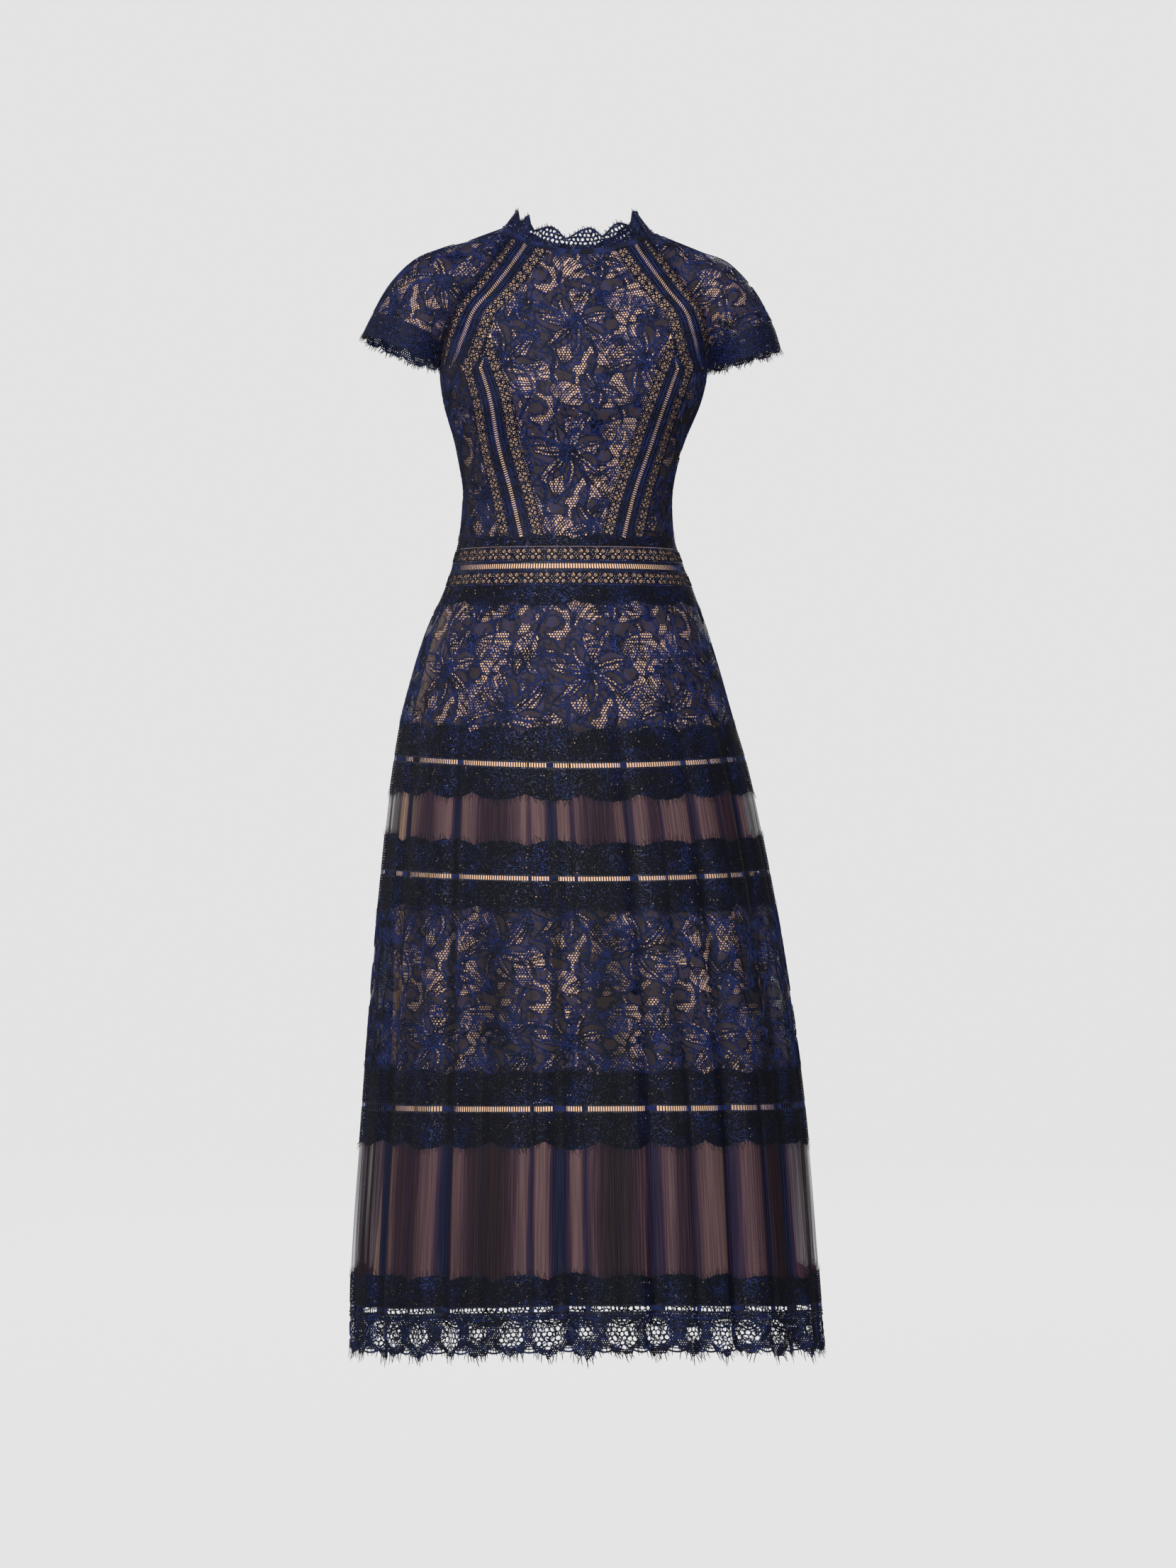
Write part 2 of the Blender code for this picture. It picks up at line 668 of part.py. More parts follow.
def make_slider(collection, cutters):
    """The slider with its two cheeks and pin, and the pull tab whose eye turns on the pin.
    They are laid out standing up and turned to the slope of the back."""
    above = np.array(on_body(SLIDER_LEVEL - SLIDER_REACH, 1, 0.0, True))
    below = np.array(on_body(SLIDER_LEVEL + SLIDER_REACH, 1, 0.0, True))
    mount = bpy.data.objects.new("zip_mount", None)
    mount.location = (above + below) / 2
    mount.rotation_euler = (math.atan2(below[1] - above[1], above[2] - below[2]), 0, 0)
    collection.objects.link(mount)

    base_y = SLIDER_STANDOFF + SLIDER_THICK / 2
    pin_y = SLIDER_STANDOFF + SLIDER_THICK + SEAM + EYE_RADIUS
    slider = box_on(mount, "zip_slider", (SLIDER_WIDTH, SLIDER_THICK, SLIDER_LENGTH),
                    (0, base_y, 0), collection)
    slider.data.materials.append(new_material("zip_slider", "metal"))
    cheek_depth = pin_y + PIN_RADIUS + CHEEK - base_y
    cheek_x = EYE_WIDTH / 2 + SEAM + CHEEK / 2
    for side, end in ((-1, "right"), (1, "left")):
        cheek = box_on(mount, f"cheek_{end}", (CHEEK, cheek_depth, CHEEK_LENGTH),
                       (side * cheek_x, base_y + cheek_depth / 2, 0), cutters)
        combine(slider, cheek, "UNION")
    pin = rod_on(mount, "slider_pin", PIN_RADIUS, 2 * cheek_x, (0, pin_y, 0), cutters)
    combine(slider, pin, "UNION")

    tab = box_on(mount, "zip_pull", (EYE_WIDTH, TAB_THICK, TAB_LENGTH),
                 (0, pin_y, -TAB_LENGTH / 2), collection)
    tab.data.materials.append(new_material("zip_pull", "metal"))
    eye = rod_on(mount, "pull_eye", EYE_RADIUS, EYE_WIDTH, (0, pin_y, 0), cutters)
    bore = rod_on(mount, "pull_bore", PIN_RADIUS + SEAM, 2 * EYE_WIDTH, (0, pin_y, 0), cutters)
    combine(tab, eye, "UNION")
    combine(tab, bore, "DIFFERENCE")


def main():
    for old in list(bpy.data.objects):
        bpy.data.objects.remove(old, do_unlink=True)
    dress = bpy.data.collections.new("lace_cocktail_dress")
    cutters = bpy.data.collections.new("cutters")
    bpy.context.scene.collection.children.link(dress)
    bpy.context.scene.collection.children.link(cutters)
    make_strips(dress)
    make_front(dress)
    make_back(dress)
    make_trims(dress)
    make_sleeves(dress)
    make_body_lining(dress)
    make_slip(dress)
    make_collar(dress)
    make_zip(dress)
    make_slider(dress, cutters)


main()
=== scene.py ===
import math

import bpy
import numpy as np
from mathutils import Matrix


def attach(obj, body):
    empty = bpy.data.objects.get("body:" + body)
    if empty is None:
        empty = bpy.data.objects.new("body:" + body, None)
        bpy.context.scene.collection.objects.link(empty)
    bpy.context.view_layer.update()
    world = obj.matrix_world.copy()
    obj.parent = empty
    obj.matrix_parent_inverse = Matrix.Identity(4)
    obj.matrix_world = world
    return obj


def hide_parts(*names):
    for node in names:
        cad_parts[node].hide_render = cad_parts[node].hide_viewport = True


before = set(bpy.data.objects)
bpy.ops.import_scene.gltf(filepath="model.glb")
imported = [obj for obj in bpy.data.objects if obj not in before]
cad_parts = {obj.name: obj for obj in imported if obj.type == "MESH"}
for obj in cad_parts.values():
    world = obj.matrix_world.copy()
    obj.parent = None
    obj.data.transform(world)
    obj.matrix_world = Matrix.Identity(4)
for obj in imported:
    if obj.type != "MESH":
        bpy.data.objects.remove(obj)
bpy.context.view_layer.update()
print("frame loaded:", len(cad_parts), "nodes")

# The form of the dress, in metres. +X is the wearer's left, the front faces -Y, and
# "down" is the distance below the origin, which is the middle of the shoulder line.
dress = {
    "wall": 0.0012,
    "liningClearance": 0.0024,
    "galloon": 0.014,
    "ladder": 0.022,
    "seamGap": 0.0003,
    "underarm": 0.145,
    "bodiceEnd": 0.3295,
    "slipTop": 0.3643,
    "slipEnd": 1.157,
    "zipEnd": 0.450,
    "zipHalfWidth": 0.0020,
    "sleeveEnd": 0.84,
    "sleeveTrimEnd": 0.97,
    "hem": 1.2130,
}


def table(columns, *rows):
    return {name: np.array(values, float) for name, values in zip(columns, zip(*rows))}


# Level sections of the body and skirt. "square" is the exponent of the section's curve.
sections = table(
    ("down", "halfWidth", "front", "back", "shift", "frontRise", "square"),
    (0.145, 0.1465, 0.112, 0.092, -0.0020, 0.000, 2.0),
    (0.178, 0.1395, 0.118, 0.091, -0.0040, 0.000, 2.25),
    (0.225, 0.1235, 0.102, 0.087, -0.0070, 0.000, 2.2),
    (0.283, 0.1138, 0.093, 0.087, -0.0090, 0.000, 2.1),
    (0.330, 0.1180, 0.096, 0.092, -0.0097, 0.000, 2.0),
    (0.345, 0.1225, 0.099, 0.096, -0.0090, 0.000, 2.0),
    (0.380, 0.1345, 0.107, 0.108, -0.0074, 0.000, 2.0),
    (0.426, 0.1527, 0.121, 0.127, -0.0095, -0.002, 2.0),
    (0.504, 0.1763, 0.141, 0.150, -0.0097, -0.006, 2.0),
    (0.574, 0.1934, 0.156, 0.166, -0.0058, -0.0085, 2.0),
    (0.690, 0.2125, 0.174, 0.183, 0.0000, -0.005, 2.0),
    (0.806, 0.2275, 0.190, 0.198, 0.0050, 0.000, 2.0),
    (0.946, 0.2422, 0.207, 0.213, 0.0089, 0.006, 2.0),
    (1.132, 0.2562, 0.226, 0.229, 0.0105, 0.015, 2.0),
    (1.213, 0.2595, 0.232, 0.233, 0.0132, 0.016, 2.0),
)

# Troughs between the skirt's flutes. Angles are degrees from the middle of the front,
# positive towards +X. "shade" is how much the sheer cloth is folded double in the trough,
# and how much the materials darken it there as painted shade.
folds = table(
    ("angle", "halfAngle", "depth", "start", "shade"),
    (-66, 6.0, 0.015, 0.42, 0.9),
    (-42, 5.5, 0.016, 0.46, 0.8),
    (-10, 5.0, 0.013, 0.47, 0.9),
    (14, 5.0, 0.014, 0.42, 0.6),
    (37, 6.0, 0.017, 0.45, 0.6),
    (60, 6.5, 0.016, 0.43, 1.0),
    (88, 5.5, 0.012, 0.48, 0.7),
    (120, 6.0, 0.016, 0.44, 0.8),
    (167, 5.0, 0.015, 0.47, 0.8),
    (-162, 6.0, 0.016, 0.48, 0.9),
    (-129, 5.5, 0.013, 0.45, 0.7),
    (-96, 6.0, 0.015, 0.46, 0.8),
)

# Small creases laid over the flutes.
# Their "shade" column darkens the creases in the same way, as painted shade.
creases = table(
    ("angle", "halfAngle", "depth", "start", "shade"),
    (-53, 2.6, 0.0032, 0.47, 0.3),
    (-30, 2.2, 0.0026, 0.60, 0.2),
    (-17, 1.5, 0.0034, 0.43, 0.8),
    (-3.5, 1.6, 0.0030, 0.55, 0.7),
    (5, 2.2, 0.0020, 0.66, 0.1),
    (24, 2.0, 0.0030, 0.50, 0.5),
    (48, 2.2, 0.0036, 0.46, 0.9),
    (73, 2.5, 0.0034, 0.52, 0.5),
    (101, 2.2, 0.0030, 0.60, 0.4),
    (136, 2.0, 0.0036, 0.50, 0.6),
    (150, 2.6, 0.0028, 0.64, 0.3),
    (178, 1.8, 0.0032, 0.52, 0.5),
    (-147, 2.4, 0.0034, 0.46, 0.5),
    (-113, 2.0, 0.0030, 0.58, 0.5),
    (-80, 2.2, 0.0032, 0.50, 0.6),
)

# The seam between a sleeve and the body, from the neck (row 0) to the underarm (row 1).
seam = table(
    ("row", "x", "frontY", "backY", "down", "arc"),
    (0.00, 0.0749, -0.028, 0.028, -0.0023, 65),
    (0.20, 0.0900, -0.042, 0.043, 0.0200, 66),
    (0.40, 0.1120, -0.056, 0.056, 0.0500, 68),
    (0.60, 0.1330, -0.056, 0.055, 0.0780, 72),
    (0.84, 0.1440, -0.034, 0.034, 0.1150, 80),
    (1.00, 0.1465, 0.000, 0.000, 0.1450, 90),
)
middle = table(
    ("row", "frontY", "frontDown", "backY", "backDown", "shift"),
    (0.00, -0.0660, 0.0194, 0.0640, 0.0240, 0.0019),
    (0.20, -0.0785, 0.0450, 0.0770, 0.0480, 0.0010),
    (0.40, -0.0900, 0.0720, 0.0850, 0.0740, 0.0000),
    (0.60, -0.0990, 0.0970, 0.0890, 0.0980, -0.0008),
    (0.84, -0.1080, 0.1250, 0.0910, 0.1250, -0.0016),
    (1.00, -0.1120, 0.1450, 0.0920, 0.1450, -0.0020),
)
shoulder = table(
    ("row", "rightX", "rightDown", "leftX", "leftDown", "arm"),
    (0.00, 0.0806, -0.0116, 0.0845, -0.0085, 0.0290),
    (0.20, 0.1130, 0.0004, 0.1070, 0.0010, 0.0470),
    (0.40, 0.1480, 0.0110, 0.1370, 0.0130, 0.0620),
    (0.60, 0.1800, 0.0260, 0.1700, 0.0270, 0.0670),
    (0.72, 0.2030, 0.0500, 0.1950, 0.0540, 0.0670),
    (0.84, 0.2209, 0.0806, 0.2150, 0.0890, 0.0650),
    (1.00, 0.2349, 0.1085, 0.2264, 0.1225, 0.0610),
)
princess = table(
    ("down", "x"),
    (0.090, 0.1280),
    (0.122, 0.1150),
    (0.178, 0.0955),
    (0.231, 0.0815),
    (0.276, 0.0675),
    (0.330, 0.0545),
)
slip = table(
    ("down", "halfWidth", "front", "back"),
    (0.3643, 0.1268, 0.0995, 0.0990),
    (0.3800, 0.1320, 0.1043, 0.1053),
    (0.4000, 0.1350, 0.1060, 0.1070),
    (0.4600, 0.1530, 0.1180, 0.1260),
    (0.6300, 0.1885, 0.1500, 0.1580),
    (0.9460, 0.2130, 0.1760, 0.1820),
    (1.1640, 0.2350, 0.2020, 0.2050),
)


def along(rows, name, at):
    """Smooth values of one column, at places along the table's first column."""
    places = next(iter(rows.values()))
    values = rows[name]
    steps = np.diff(places)
    rates = np.diff(values) / steps
    slopes = np.concatenate(([rates[0]], (rates[:-1] + rates[1:]) / 2, [rates[-1]]))
    slopes[1:-1][rates[:-1] * rates[1:] <= 0] = 0.0
    k = np.clip(np.searchsorted(places, at) - 1, 0, len(steps) - 1)
    t = np.clip((at - places[k]) / steps[k], 0.0, 1.0)
    start = (2 * t**3 - 3 * t**2 + 1) * values[k] + (t**3 - 2 * t**2 + t) * steps[k] * slopes[k]
    end = (3 * t**2 - 2 * t**3) * values[k + 1] + (t**3 - t**2) * steps[k] * slopes[k + 1]
    return start + end


def troughs(rows, down, angle, column):
    """The sum of the troughs in one table, at these levels and angles."""
    total = np.zeros(np.broadcast(down, angle).shape)
    for i in range(len(rows["angle"])):
        grown = np.clip((down - rows["start"][i]) / (dress["hem"] - rows["start"][i]), 0, 1) ** 0.8
        apart = np.abs((np.degrees(angle) - rows["angle"][i] + 180) % 360 - 180)
        apart = np.minimum(apart / rows["halfAngle"][i], 1)
        total = total + rows[column][i] * grown * np.cos(math.pi / 2 * apart) ** 2
    return total


def ringPoints(down, angle, folded=True):
    """Points of the outer cloth below the underarm."""
    down, angle = np.broadcast_arrays(np.asarray(down, float), np.asarray(angle, float))
    power = 2 / along(sections, "square", down)
    across = np.sign(np.sin(angle)) * np.abs(np.sin(angle)) ** power
    forward = np.sign(np.cos(angle)) * np.abs(np.cos(angle)) ** power
    front, back = along(sections, "front", down), along(sections, "back", down)
    deep = np.where(forward > 0, front, back)
    drawnIn = 0.0
    if folded:
        drawnIn = troughs(folds, down, angle, "depth") + troughs(creases, down, angle, "depth")
    x = (along(sections, "halfWidth", down) - drawnIn) * across + along(sections, "shift", down)
    y = -(deep - drawnIn) * forward
    z = along(sections, "frontRise", down) * np.maximum(forward, 0) ** 2 - down
    return np.stack([x, y, z], -1)


def levelDown(level):
    return dress["underarm"] + (level - 1) * (dress["bodiceEnd"] - dress["underarm"])


def halfRow(level, back):
    """Points from the middle to the side on +X, without shift. Levels 0 to 1 run from the
    neck to the underarm, and 1 to 2 from there to the waistband."""
    if level > 1:
        down = levelDown(level)
        angles = np.linspace(math.pi if back else 0.0, math.pi / 2, 49)
        return ringPoints(down, angles, False) - [along(sections, "shift", down), 0, 0]
    face = "back" if back else "front"
    arc = math.radians(along(seam, "arc", level))
    angles = np.linspace(0, arc, 49)
    across = np.sin(angles) / math.sin(arc)
    turned = (1 - np.cos(angles)) / (1 - math.cos(arc))
    middleY, middleDown = along(middle, face + "Y", level), along(middle, face + "Down", level)
    drop = middleDown + (along(seam, "down", level) - middleDown) * across**2
    y = middleY + (along(seam, face + "Y", level) - middleY) * turned
    return np.column_stack([along(seam, "x", level) * across, y, -drop])


def shiftOf(level):
    if level > 1:
        return float(along(sections, "shift", levelDown(level)))
    return float(along(middle, "shift", level))


def lengths(points):
    """Distance run to each point from the first."""
    return np.concatenate(([0.0], np.cumsum(np.linalg.norm(np.diff(points, axis=0), axis=1))))


def unit(vectors):
    return vectors / (np.linalg.norm(vectors, axis=-1, keepdims=True) + 1e-12)


def ringLengths(points):
    return np.linalg.norm(np.diff(points, axis=1), axis=2).sum(axis=1)


def evenly(points, count):
    """The same run of points, spaced evenly."""
    run = lengths(points)
    at = np.linspace(0, run[-1], count)
    return np.column_stack([np.interp(at, run, points[:, axis]) for axis in range(3)])


def slant(level):
    """How much longer a step along the row is than one square to the raglan seam."""
    low, high = max(level - 0.05, 0.0), min(level + 0.05, 1.0)
    run = halfRow(high, False)[-1] - halfRow(low, False)[-1]
    row = halfRow(level, False)
    step = row[-1] - row[-2]
    cosine = abs(run @ step) / np.linalg.norm(run) / np.linalg.norm(step)
    return min(1 / math.sqrt(max(1 - cosine**2, 0.3)), 1.6)


def sleeveArch(row, side):
    """Points over one sleeve, from its seam with the front to its seam with the back."""
    name = "left" if side > 0 else "right"
    foot = np.array([along(seam, "x", row), 0, -along(seam, "down", row)])
    top = np.array([along(shoulder, name + "X", row), 0, -along(shoulder, name + "Down", row)])
    foot[0] += side * along(middle, "shift", row)
    reach = np.linalg.norm(top - foot)
    rise = (top - foot) / reach
    halves = []
    for face, sign in (("frontY", -1), ("backY", 1)):
        depth = abs(along(seam, face, row))
        arm = max(along(shoulder, "arm", row), depth * 1.001)
        low = math.acos(min(depth / arm, 1.0))
        halfHeight = reach / (1 + math.sin(low))
        angles = np.linspace(-low, math.pi / 2, 49)
        half = top - halfHeight * rise + np.outer(np.sin(angles) * halfHeight, rise)
        half[:, 1] += sign * arm * np.cos(angles)
        halves.append(half)
    return np.vstack([halves[0], halves[1][-2::-1]]) * [side, 1, 1], foot * [side, 1, 1]


# A patch is a grid of points on the outer cloth. u runs across it and v down it, both in
# metres of flat cloth, with u = 0 in the middle.
def makePatch(points, v, half, inside, **extra):
    across = np.gradient(points, axis=1)
    downward = np.gradient(points, axis=0)
    normals = unit(np.cross(downward, across))
    flip = float(np.mean(np.sum(normals * (points - inside), axis=2))) < 0
    if flip:
        normals = -normals
    return {"points": points, "normals": normals, "v": v, "half": half, "flip": flip, **extra}


def patchAt(patch, u, v, lift=0.0):
    """Points and outward directions at places on a patch."""
    u, v = np.broadcast_arrays(np.asarray(u, float), np.asarray(v, float))
    rows, columns = patch["points"].shape[:2]
    half = np.interp(v, patch["v"], patch["half"])
    r = np.interp(v, patch["v"], np.arange(rows))
    if patch.get("round"):
        u = (u + half) % (2 * half) - half
    c = np.clip((u / (2 * half) + 0.5) * (columns - 1), 0, columns - 1)
    i = np.minimum(r.astype(int), rows - 2)
    j = np.minimum(c.astype(int), columns - 2)
    s, t = (r - i)[..., None], (c - j)[..., None]
    found = []
    for grid in (patch["points"], patch["normals"]):
        top = grid[i, j] * (1 - t) + grid[i, j + 1] * t
        low = grid[i + 1, j] * (1 - t) + grid[i + 1, j + 1] * t
        found.append(top * (1 - s) + low * s)
    normal = unit(found[1])
    lift = np.asarray(lift, float)[..., None]
    return found[0] + normal * lift, normal


def skirtPatch(columns=721, folded=True):
    downs = np.concatenate([np.arange(0.3200, dress["hem"], 0.004), [dress["hem"], 1.224]])
    angles = np.linspace(-math.pi, math.pi, columns)
    points = ringPoints(downs[:, None], angles[None, :], folded)
    points[-1, :, 2] -= 1.224 - dress["hem"]
    centre = points.mean(axis=1, keepdims=True)
    run = ringLengths(points)
    patch = makePatch(points, downs, run / 2, centre, run=run, round=True)
    ends = patch["normals"][:, 0] + patch["normals"][:, -1]
    patch["normals"][:, 0] = patch["normals"][:, -1] = unit(ends)
    return patch


def stripPatch(base, top, bottom):
    """The same surface, with u measured along the middle of one strip."""
    half = float(np.interp((top + bottom) / 2, base["v"], base["run"])) / 2
    return {**base, "half": np.full(len(base["v"]), half), "length": 2 * half}


def bodyPatch(back):
    levels = np.linspace(0, 2.176, 181)
    points, half = [], []
    for level in levels:
        row = halfRow(level, back)
        half.append(lengths(row)[-1])
        row = evenly(row, 61)
        whole = np.vstack([row[:0:-1] * [-1, 1, 1], row])
        points.append(whole + [shiftOf(level), 0, 0])
    points = np.array(points)
    return makePatch(points, lengths(points[:, 60]), np.array(half), points * [0, 0, 1],
                     levels=levels)


def sleevePatch(side):
    rows = np.linspace(0, 1.0, 81)
    points, half, feet = [], [], []
    for row in rows:
        arch, foot = sleeveArch(row, side)
        half.append(lengths(arch)[-1] / 2)
        points.append(evenly(arch, 121))
        feet.append(foot)
    points = np.array(points)
    return makePatch(points, lengths(points[:, 60]), np.array(half),
                     np.array(feet)[:, None, :], levels=rows)


def slipPatch():
    end = dress["slipEnd"]
    downs = np.concatenate([np.arange(dress["slipTop"], end, 0.01), [end]])[:, None]
    angles = np.linspace(-math.pi, math.pi, 241)[None, :]
    deep = np.where(np.cos(angles) > 0, along(slip, "front", downs), along(slip, "back", downs))
    x = along(slip, "halfWidth", downs) * np.sin(angles) + along(sections, "shift", downs)
    rise = along(sections, "frontRise", downs) * np.maximum(np.cos(angles), 0) ** 2
    points = np.stack([x, -deep * np.cos(angles), rise - downs + 0 * x], -1)
    run = ringLengths(points)
    centre = points.mean(axis=1, keepdims=True)
    return makePatch(points, downs[:, 0], np.full(len(run), run.mean() / 2), centre,
                     run=run, round=True, length=run.mean())


def levelValues(patch, function):
    """A function of the level, as a function of v."""
    values = np.array([function(level) for level in patch["levels"]])
    return lambda v: np.interp(v, patch["v"], values)


def levelV(patch, level):
    return float(np.interp(level, patch["levels"], patch["v"]))


# Meshes
def newObject(name, mesh, material=None):
    piece = bpy.data.objects.new(name, mesh)
    bpy.context.scene.collection.objects.link(piece)
    if material:
        mesh.materials.append(material)
    return piece


def meshObject(name, points, faces=(), material=None, smooth=False):
    mesh = bpy.data.meshes.new(name)
    mesh.from_pydata(points, [], faces)
    if smooth:
        mesh.shade_smooth()
    return newObject(name, mesh, material)


def setAttributes(mesh, kind, field, values):
    """Gives each point of a mesh its values, under their names."""
    for name, grid in values.items():
        mesh.attributes.new(name, kind, "POINT").data.foreach_set(
            field, np.ascontiguousarray(grid, dtype=np.float32).ravel())


def gridObject(name, points, uv, material, closed=False, flip=False, values=None):
    """A sheet through a grid of points. A closed one has its first column again as its last."""
    rows, columns = points.shape[:2]
    kept = columns - 1 if closed else columns
    index = np.arange(rows * kept).reshape(rows, kept)
    if closed:
        index = np.concatenate([index, index[:, :1]], axis=1)
    corner = np.arange(rows * columns).reshape(rows, columns)
    order = (0, 1, 2, 3) if not flip else (3, 2, 1, 0)

    def quads(grid):
        corners = [grid[:-1, :-1], grid[1:, :-1], grid[1:, 1:], grid[:-1, 1:]]
        return np.stack([corners[k] for k in order], -1).reshape(-1, 4)

    piece = meshObject(name, points[:, :kept].reshape(-1, 3).tolist(), quads(index).tolist(),
                       material, True)
    layer = piece.data.uv_layers.new(name="cloth")
    layer.data.foreach_set("uv", uv.reshape(-1, 2)[quads(corner)].ravel())
    setAttributes(piece.data, "FLOAT", "value",
                  {key: grid[:, :kept] for key, grid in (values or {}).items()})
    return piece


def makeSheet(name, patch, span, sides, step, material, lift=0.0, edges=(None, None),
              closed=False, field=None, layout=None):
    """A sheet on a patch. span is its first and last v, sides gives u at its two sides for
    each v, and edges add a distance in v along its top and bottom."""
    probe = np.linspace(span[0], span[1], 9)
    width = np.max(sides[1](probe) - sides[0](probe))
    across = max(int(math.ceil(width / step)), 2)
    downward = max(int(math.ceil((span[1] - span[0]) / step)), 2)
    v = np.linspace(span[0], span[1], downward + 1)[:, None]
    s = np.linspace(0, 1, across + 1)[None, :]
    u = sides[0](v) + (sides[1](v) - sides[0](v)) * s
    t = (v - span[0]) / (span[1] - span[0])
    v = v + 0 * u
    if edges[0]:
        v = v + edges[0](u) * (1 - t)
    if edges[1]:
        v = v + edges[1](u) * t
    points, _ = patchAt(patch, u, v, lift)
    values = field(patch, u, v) if field else None
    uv = layout(u, v, points) if layout else np.stack([u, -v], -1)
    piece = gridObject(name, points, uv, material, closed, patch["flip"], values)
    piece["length"], piece["height"] = float(width), float(span[1] - span[0])
    return piece


def faceArea(piece):
    return sum(face.area for face in piece.data.polygons)


def cordObject(name, patch, cords, material, inside=None, rise=0.0009, lift=0.0002):
    """Raised cords along runs of (u, v) points. Each run has its own half width."""
    vertices, faces = [], []
    count = 0
    for run, wide in cords:
        run = np.asarray(run, float)
        mask = np.ones(len(run), bool) if inside is None else inside(run[:, 0], run[:, 1])
        starts = np.flatnonzero(mask & ~np.concatenate(([False], mask[:-1])))
        ends = np.flatnonzero(mask & ~np.concatenate((mask[1:], [False]))) + 1
        for first, last in zip(starts, ends):
            part = run[first:last]
            if len(part) < 3:
                continue
            way = unit(np.gradient(part, axis=0))
            square = np.column_stack([-way[:, 1], way[:, 0]])
            place = np.arange(len(part))
            taper = np.minimum(1, 0.35 + np.minimum(place, place[::-1]) * 0.5)
            reach = square * (wide * taper)[:, None]
            grid = np.stack([part + reach, part, part - reach], 1)
            lifts = np.stack([0 * taper + lift, lift + rise * taper, 0 * taper + lift], 1)
            found, _ = patchAt(patch, grid[..., 0], grid[..., 1], lifts)
            n = len(part)
            vertices.append(found.reshape(-1, 3))
            at = count + 3 * np.arange(n - 1)[:, None]
            one = [at, at + 3, at + 4, at + 1]
            two = [at + 1, at + 4, at + 5, at + 2]
            if patch["flip"]:
                one, two = one[::-1], two[::-1]
            faces += [np.concatenate(one, 1), np.concatenate(two, 1)]
            count += 3 * n
    return meshObject(name, np.concatenate(vertices).tolist(), np.concatenate(faces).tolist(),
                      material, True)


def joinPieces(name, pieces):
    with bpy.context.temp_override(active_object=pieces[0], object=pieces[0],
                                   selected_editable_objects=pieces, selected_objects=pieces):
        bpy.ops.object.join()
    pieces[0].name = pieces[0].data.name = name
    return pieces[0]


class Value:
    """What one node puts out. Plain arithmetic on it adds the nodes that work it out."""

    def __init__(self, tree, socket):
        self.tree, self.socket = tree, socket

    def __add__(self, other):
        return maths(self.tree, "ADD", self, other)

    def __sub__(self, other):
        return maths(self.tree, "SUBTRACT", self, other)

    def __rsub__(self, other):
        return maths(self.tree, "SUBTRACT", other, self)

    def __mul__(self, other):
        return maths(self.tree, "MULTIPLY", self, other)

    def __truediv__(self, other):
        return maths(self.tree, "DIVIDE", self, other)

    def most(self, other):
        return maths(self.tree, "MAXIMUM", self, other)

    def step(self, low, high, first=0.0, last=1.0):
        """A smooth step from first to last as the value goes from low to high."""
        return put(self.tree, "ShaderNodeMapRange", {
            "Value": self, "From Min": low, "From Max": high, "To Min": first, "To Max": last,
        }, interpolation_type="SMOOTHSTEP")


def put(tree, kind, inputs=None, out=0, **settings):
    """Adds a node and gives what it puts out."""
    node = tree.nodes.new(kind)
    for name, value in settings.items():
        setattr(node, name, value)
    for socket, value in (inputs or {}).items():
        value = value.socket if isinstance(value, Value) else value
        if isinstance(value, bpy.types.NodeSocket):
            tree.links.new(value, node.inputs[socket])
        else:
            node.inputs[socket].default_value = value
    return Value(tree, node.outputs[out])


def scaled(tree, vector, factor):
    return put(tree, "ShaderNodeVectorMath", {0: vector, "Scale": factor}, operation="SCALE")


def socketOf(tree, name, kind, way="INPUT"):
    return tree.interface.new_socket(name=name, in_out=way, socket_type=kind)


def groupInputs(tree):
    start = tree.nodes.new("NodeGroupInput")
    return {socket.name: Value(tree, socket) for socket in start.outputs if socket.name}


def makeScatterTree():
    """Copies a shape onto each point, turned by the point's own directions."""
    tree = bpy.data.node_groups.new("scatterOnCloth", "GeometryNodeTree")
    socketOf(tree, "Points", "NodeSocketGeometry")
    sockets = {name: socketOf(tree, name, kind).identifier for name, kind in (
        ("Shape", "NodeSocketObject"), ("Size", "NodeSocketFloat"),
        ("Finish", "NodeSocketMaterial"))}
    socketOf(tree, "Copies", "NodeSocketGeometry", "OUTPUT")
    given = groupInputs(tree)

    def named(name):
        return put(tree, "GeometryNodeInputNamedAttribute", {"Name": name}, "Attribute",
                   data_type="FLOAT_VECTOR")
    axes = {"Primary Axis": named("outward"), "Secondary Axis": named("tangent")}
    copies = put(tree, "GeometryNodeInstanceOnPoints", {
        "Points": given["Points"],
        "Instance": put(tree, "GeometryNodeObjectInfo", {"Object": given["Shape"]}, "Geometry"),
        "Rotation": put(tree, "FunctionNodeAxesToRotation", axes, primary_axis="Z",
                        secondary_axis="X"),
        "Scale": scaled(tree, named("stretch"), given["Size"]),
    })
    real = put(tree, "GeometryNodeRealizeInstances", {"Geometry": copies})
    finish = put(tree, "GeometryNodeSetMaterial", {"Geometry": real, "Material": given["Finish"]})
    tree.links.new(finish.socket, tree.nodes.new("NodeGroupOutput").inputs["Copies"])
    return tree, sockets


scatterTree, scatterSockets = makeScatterTree()


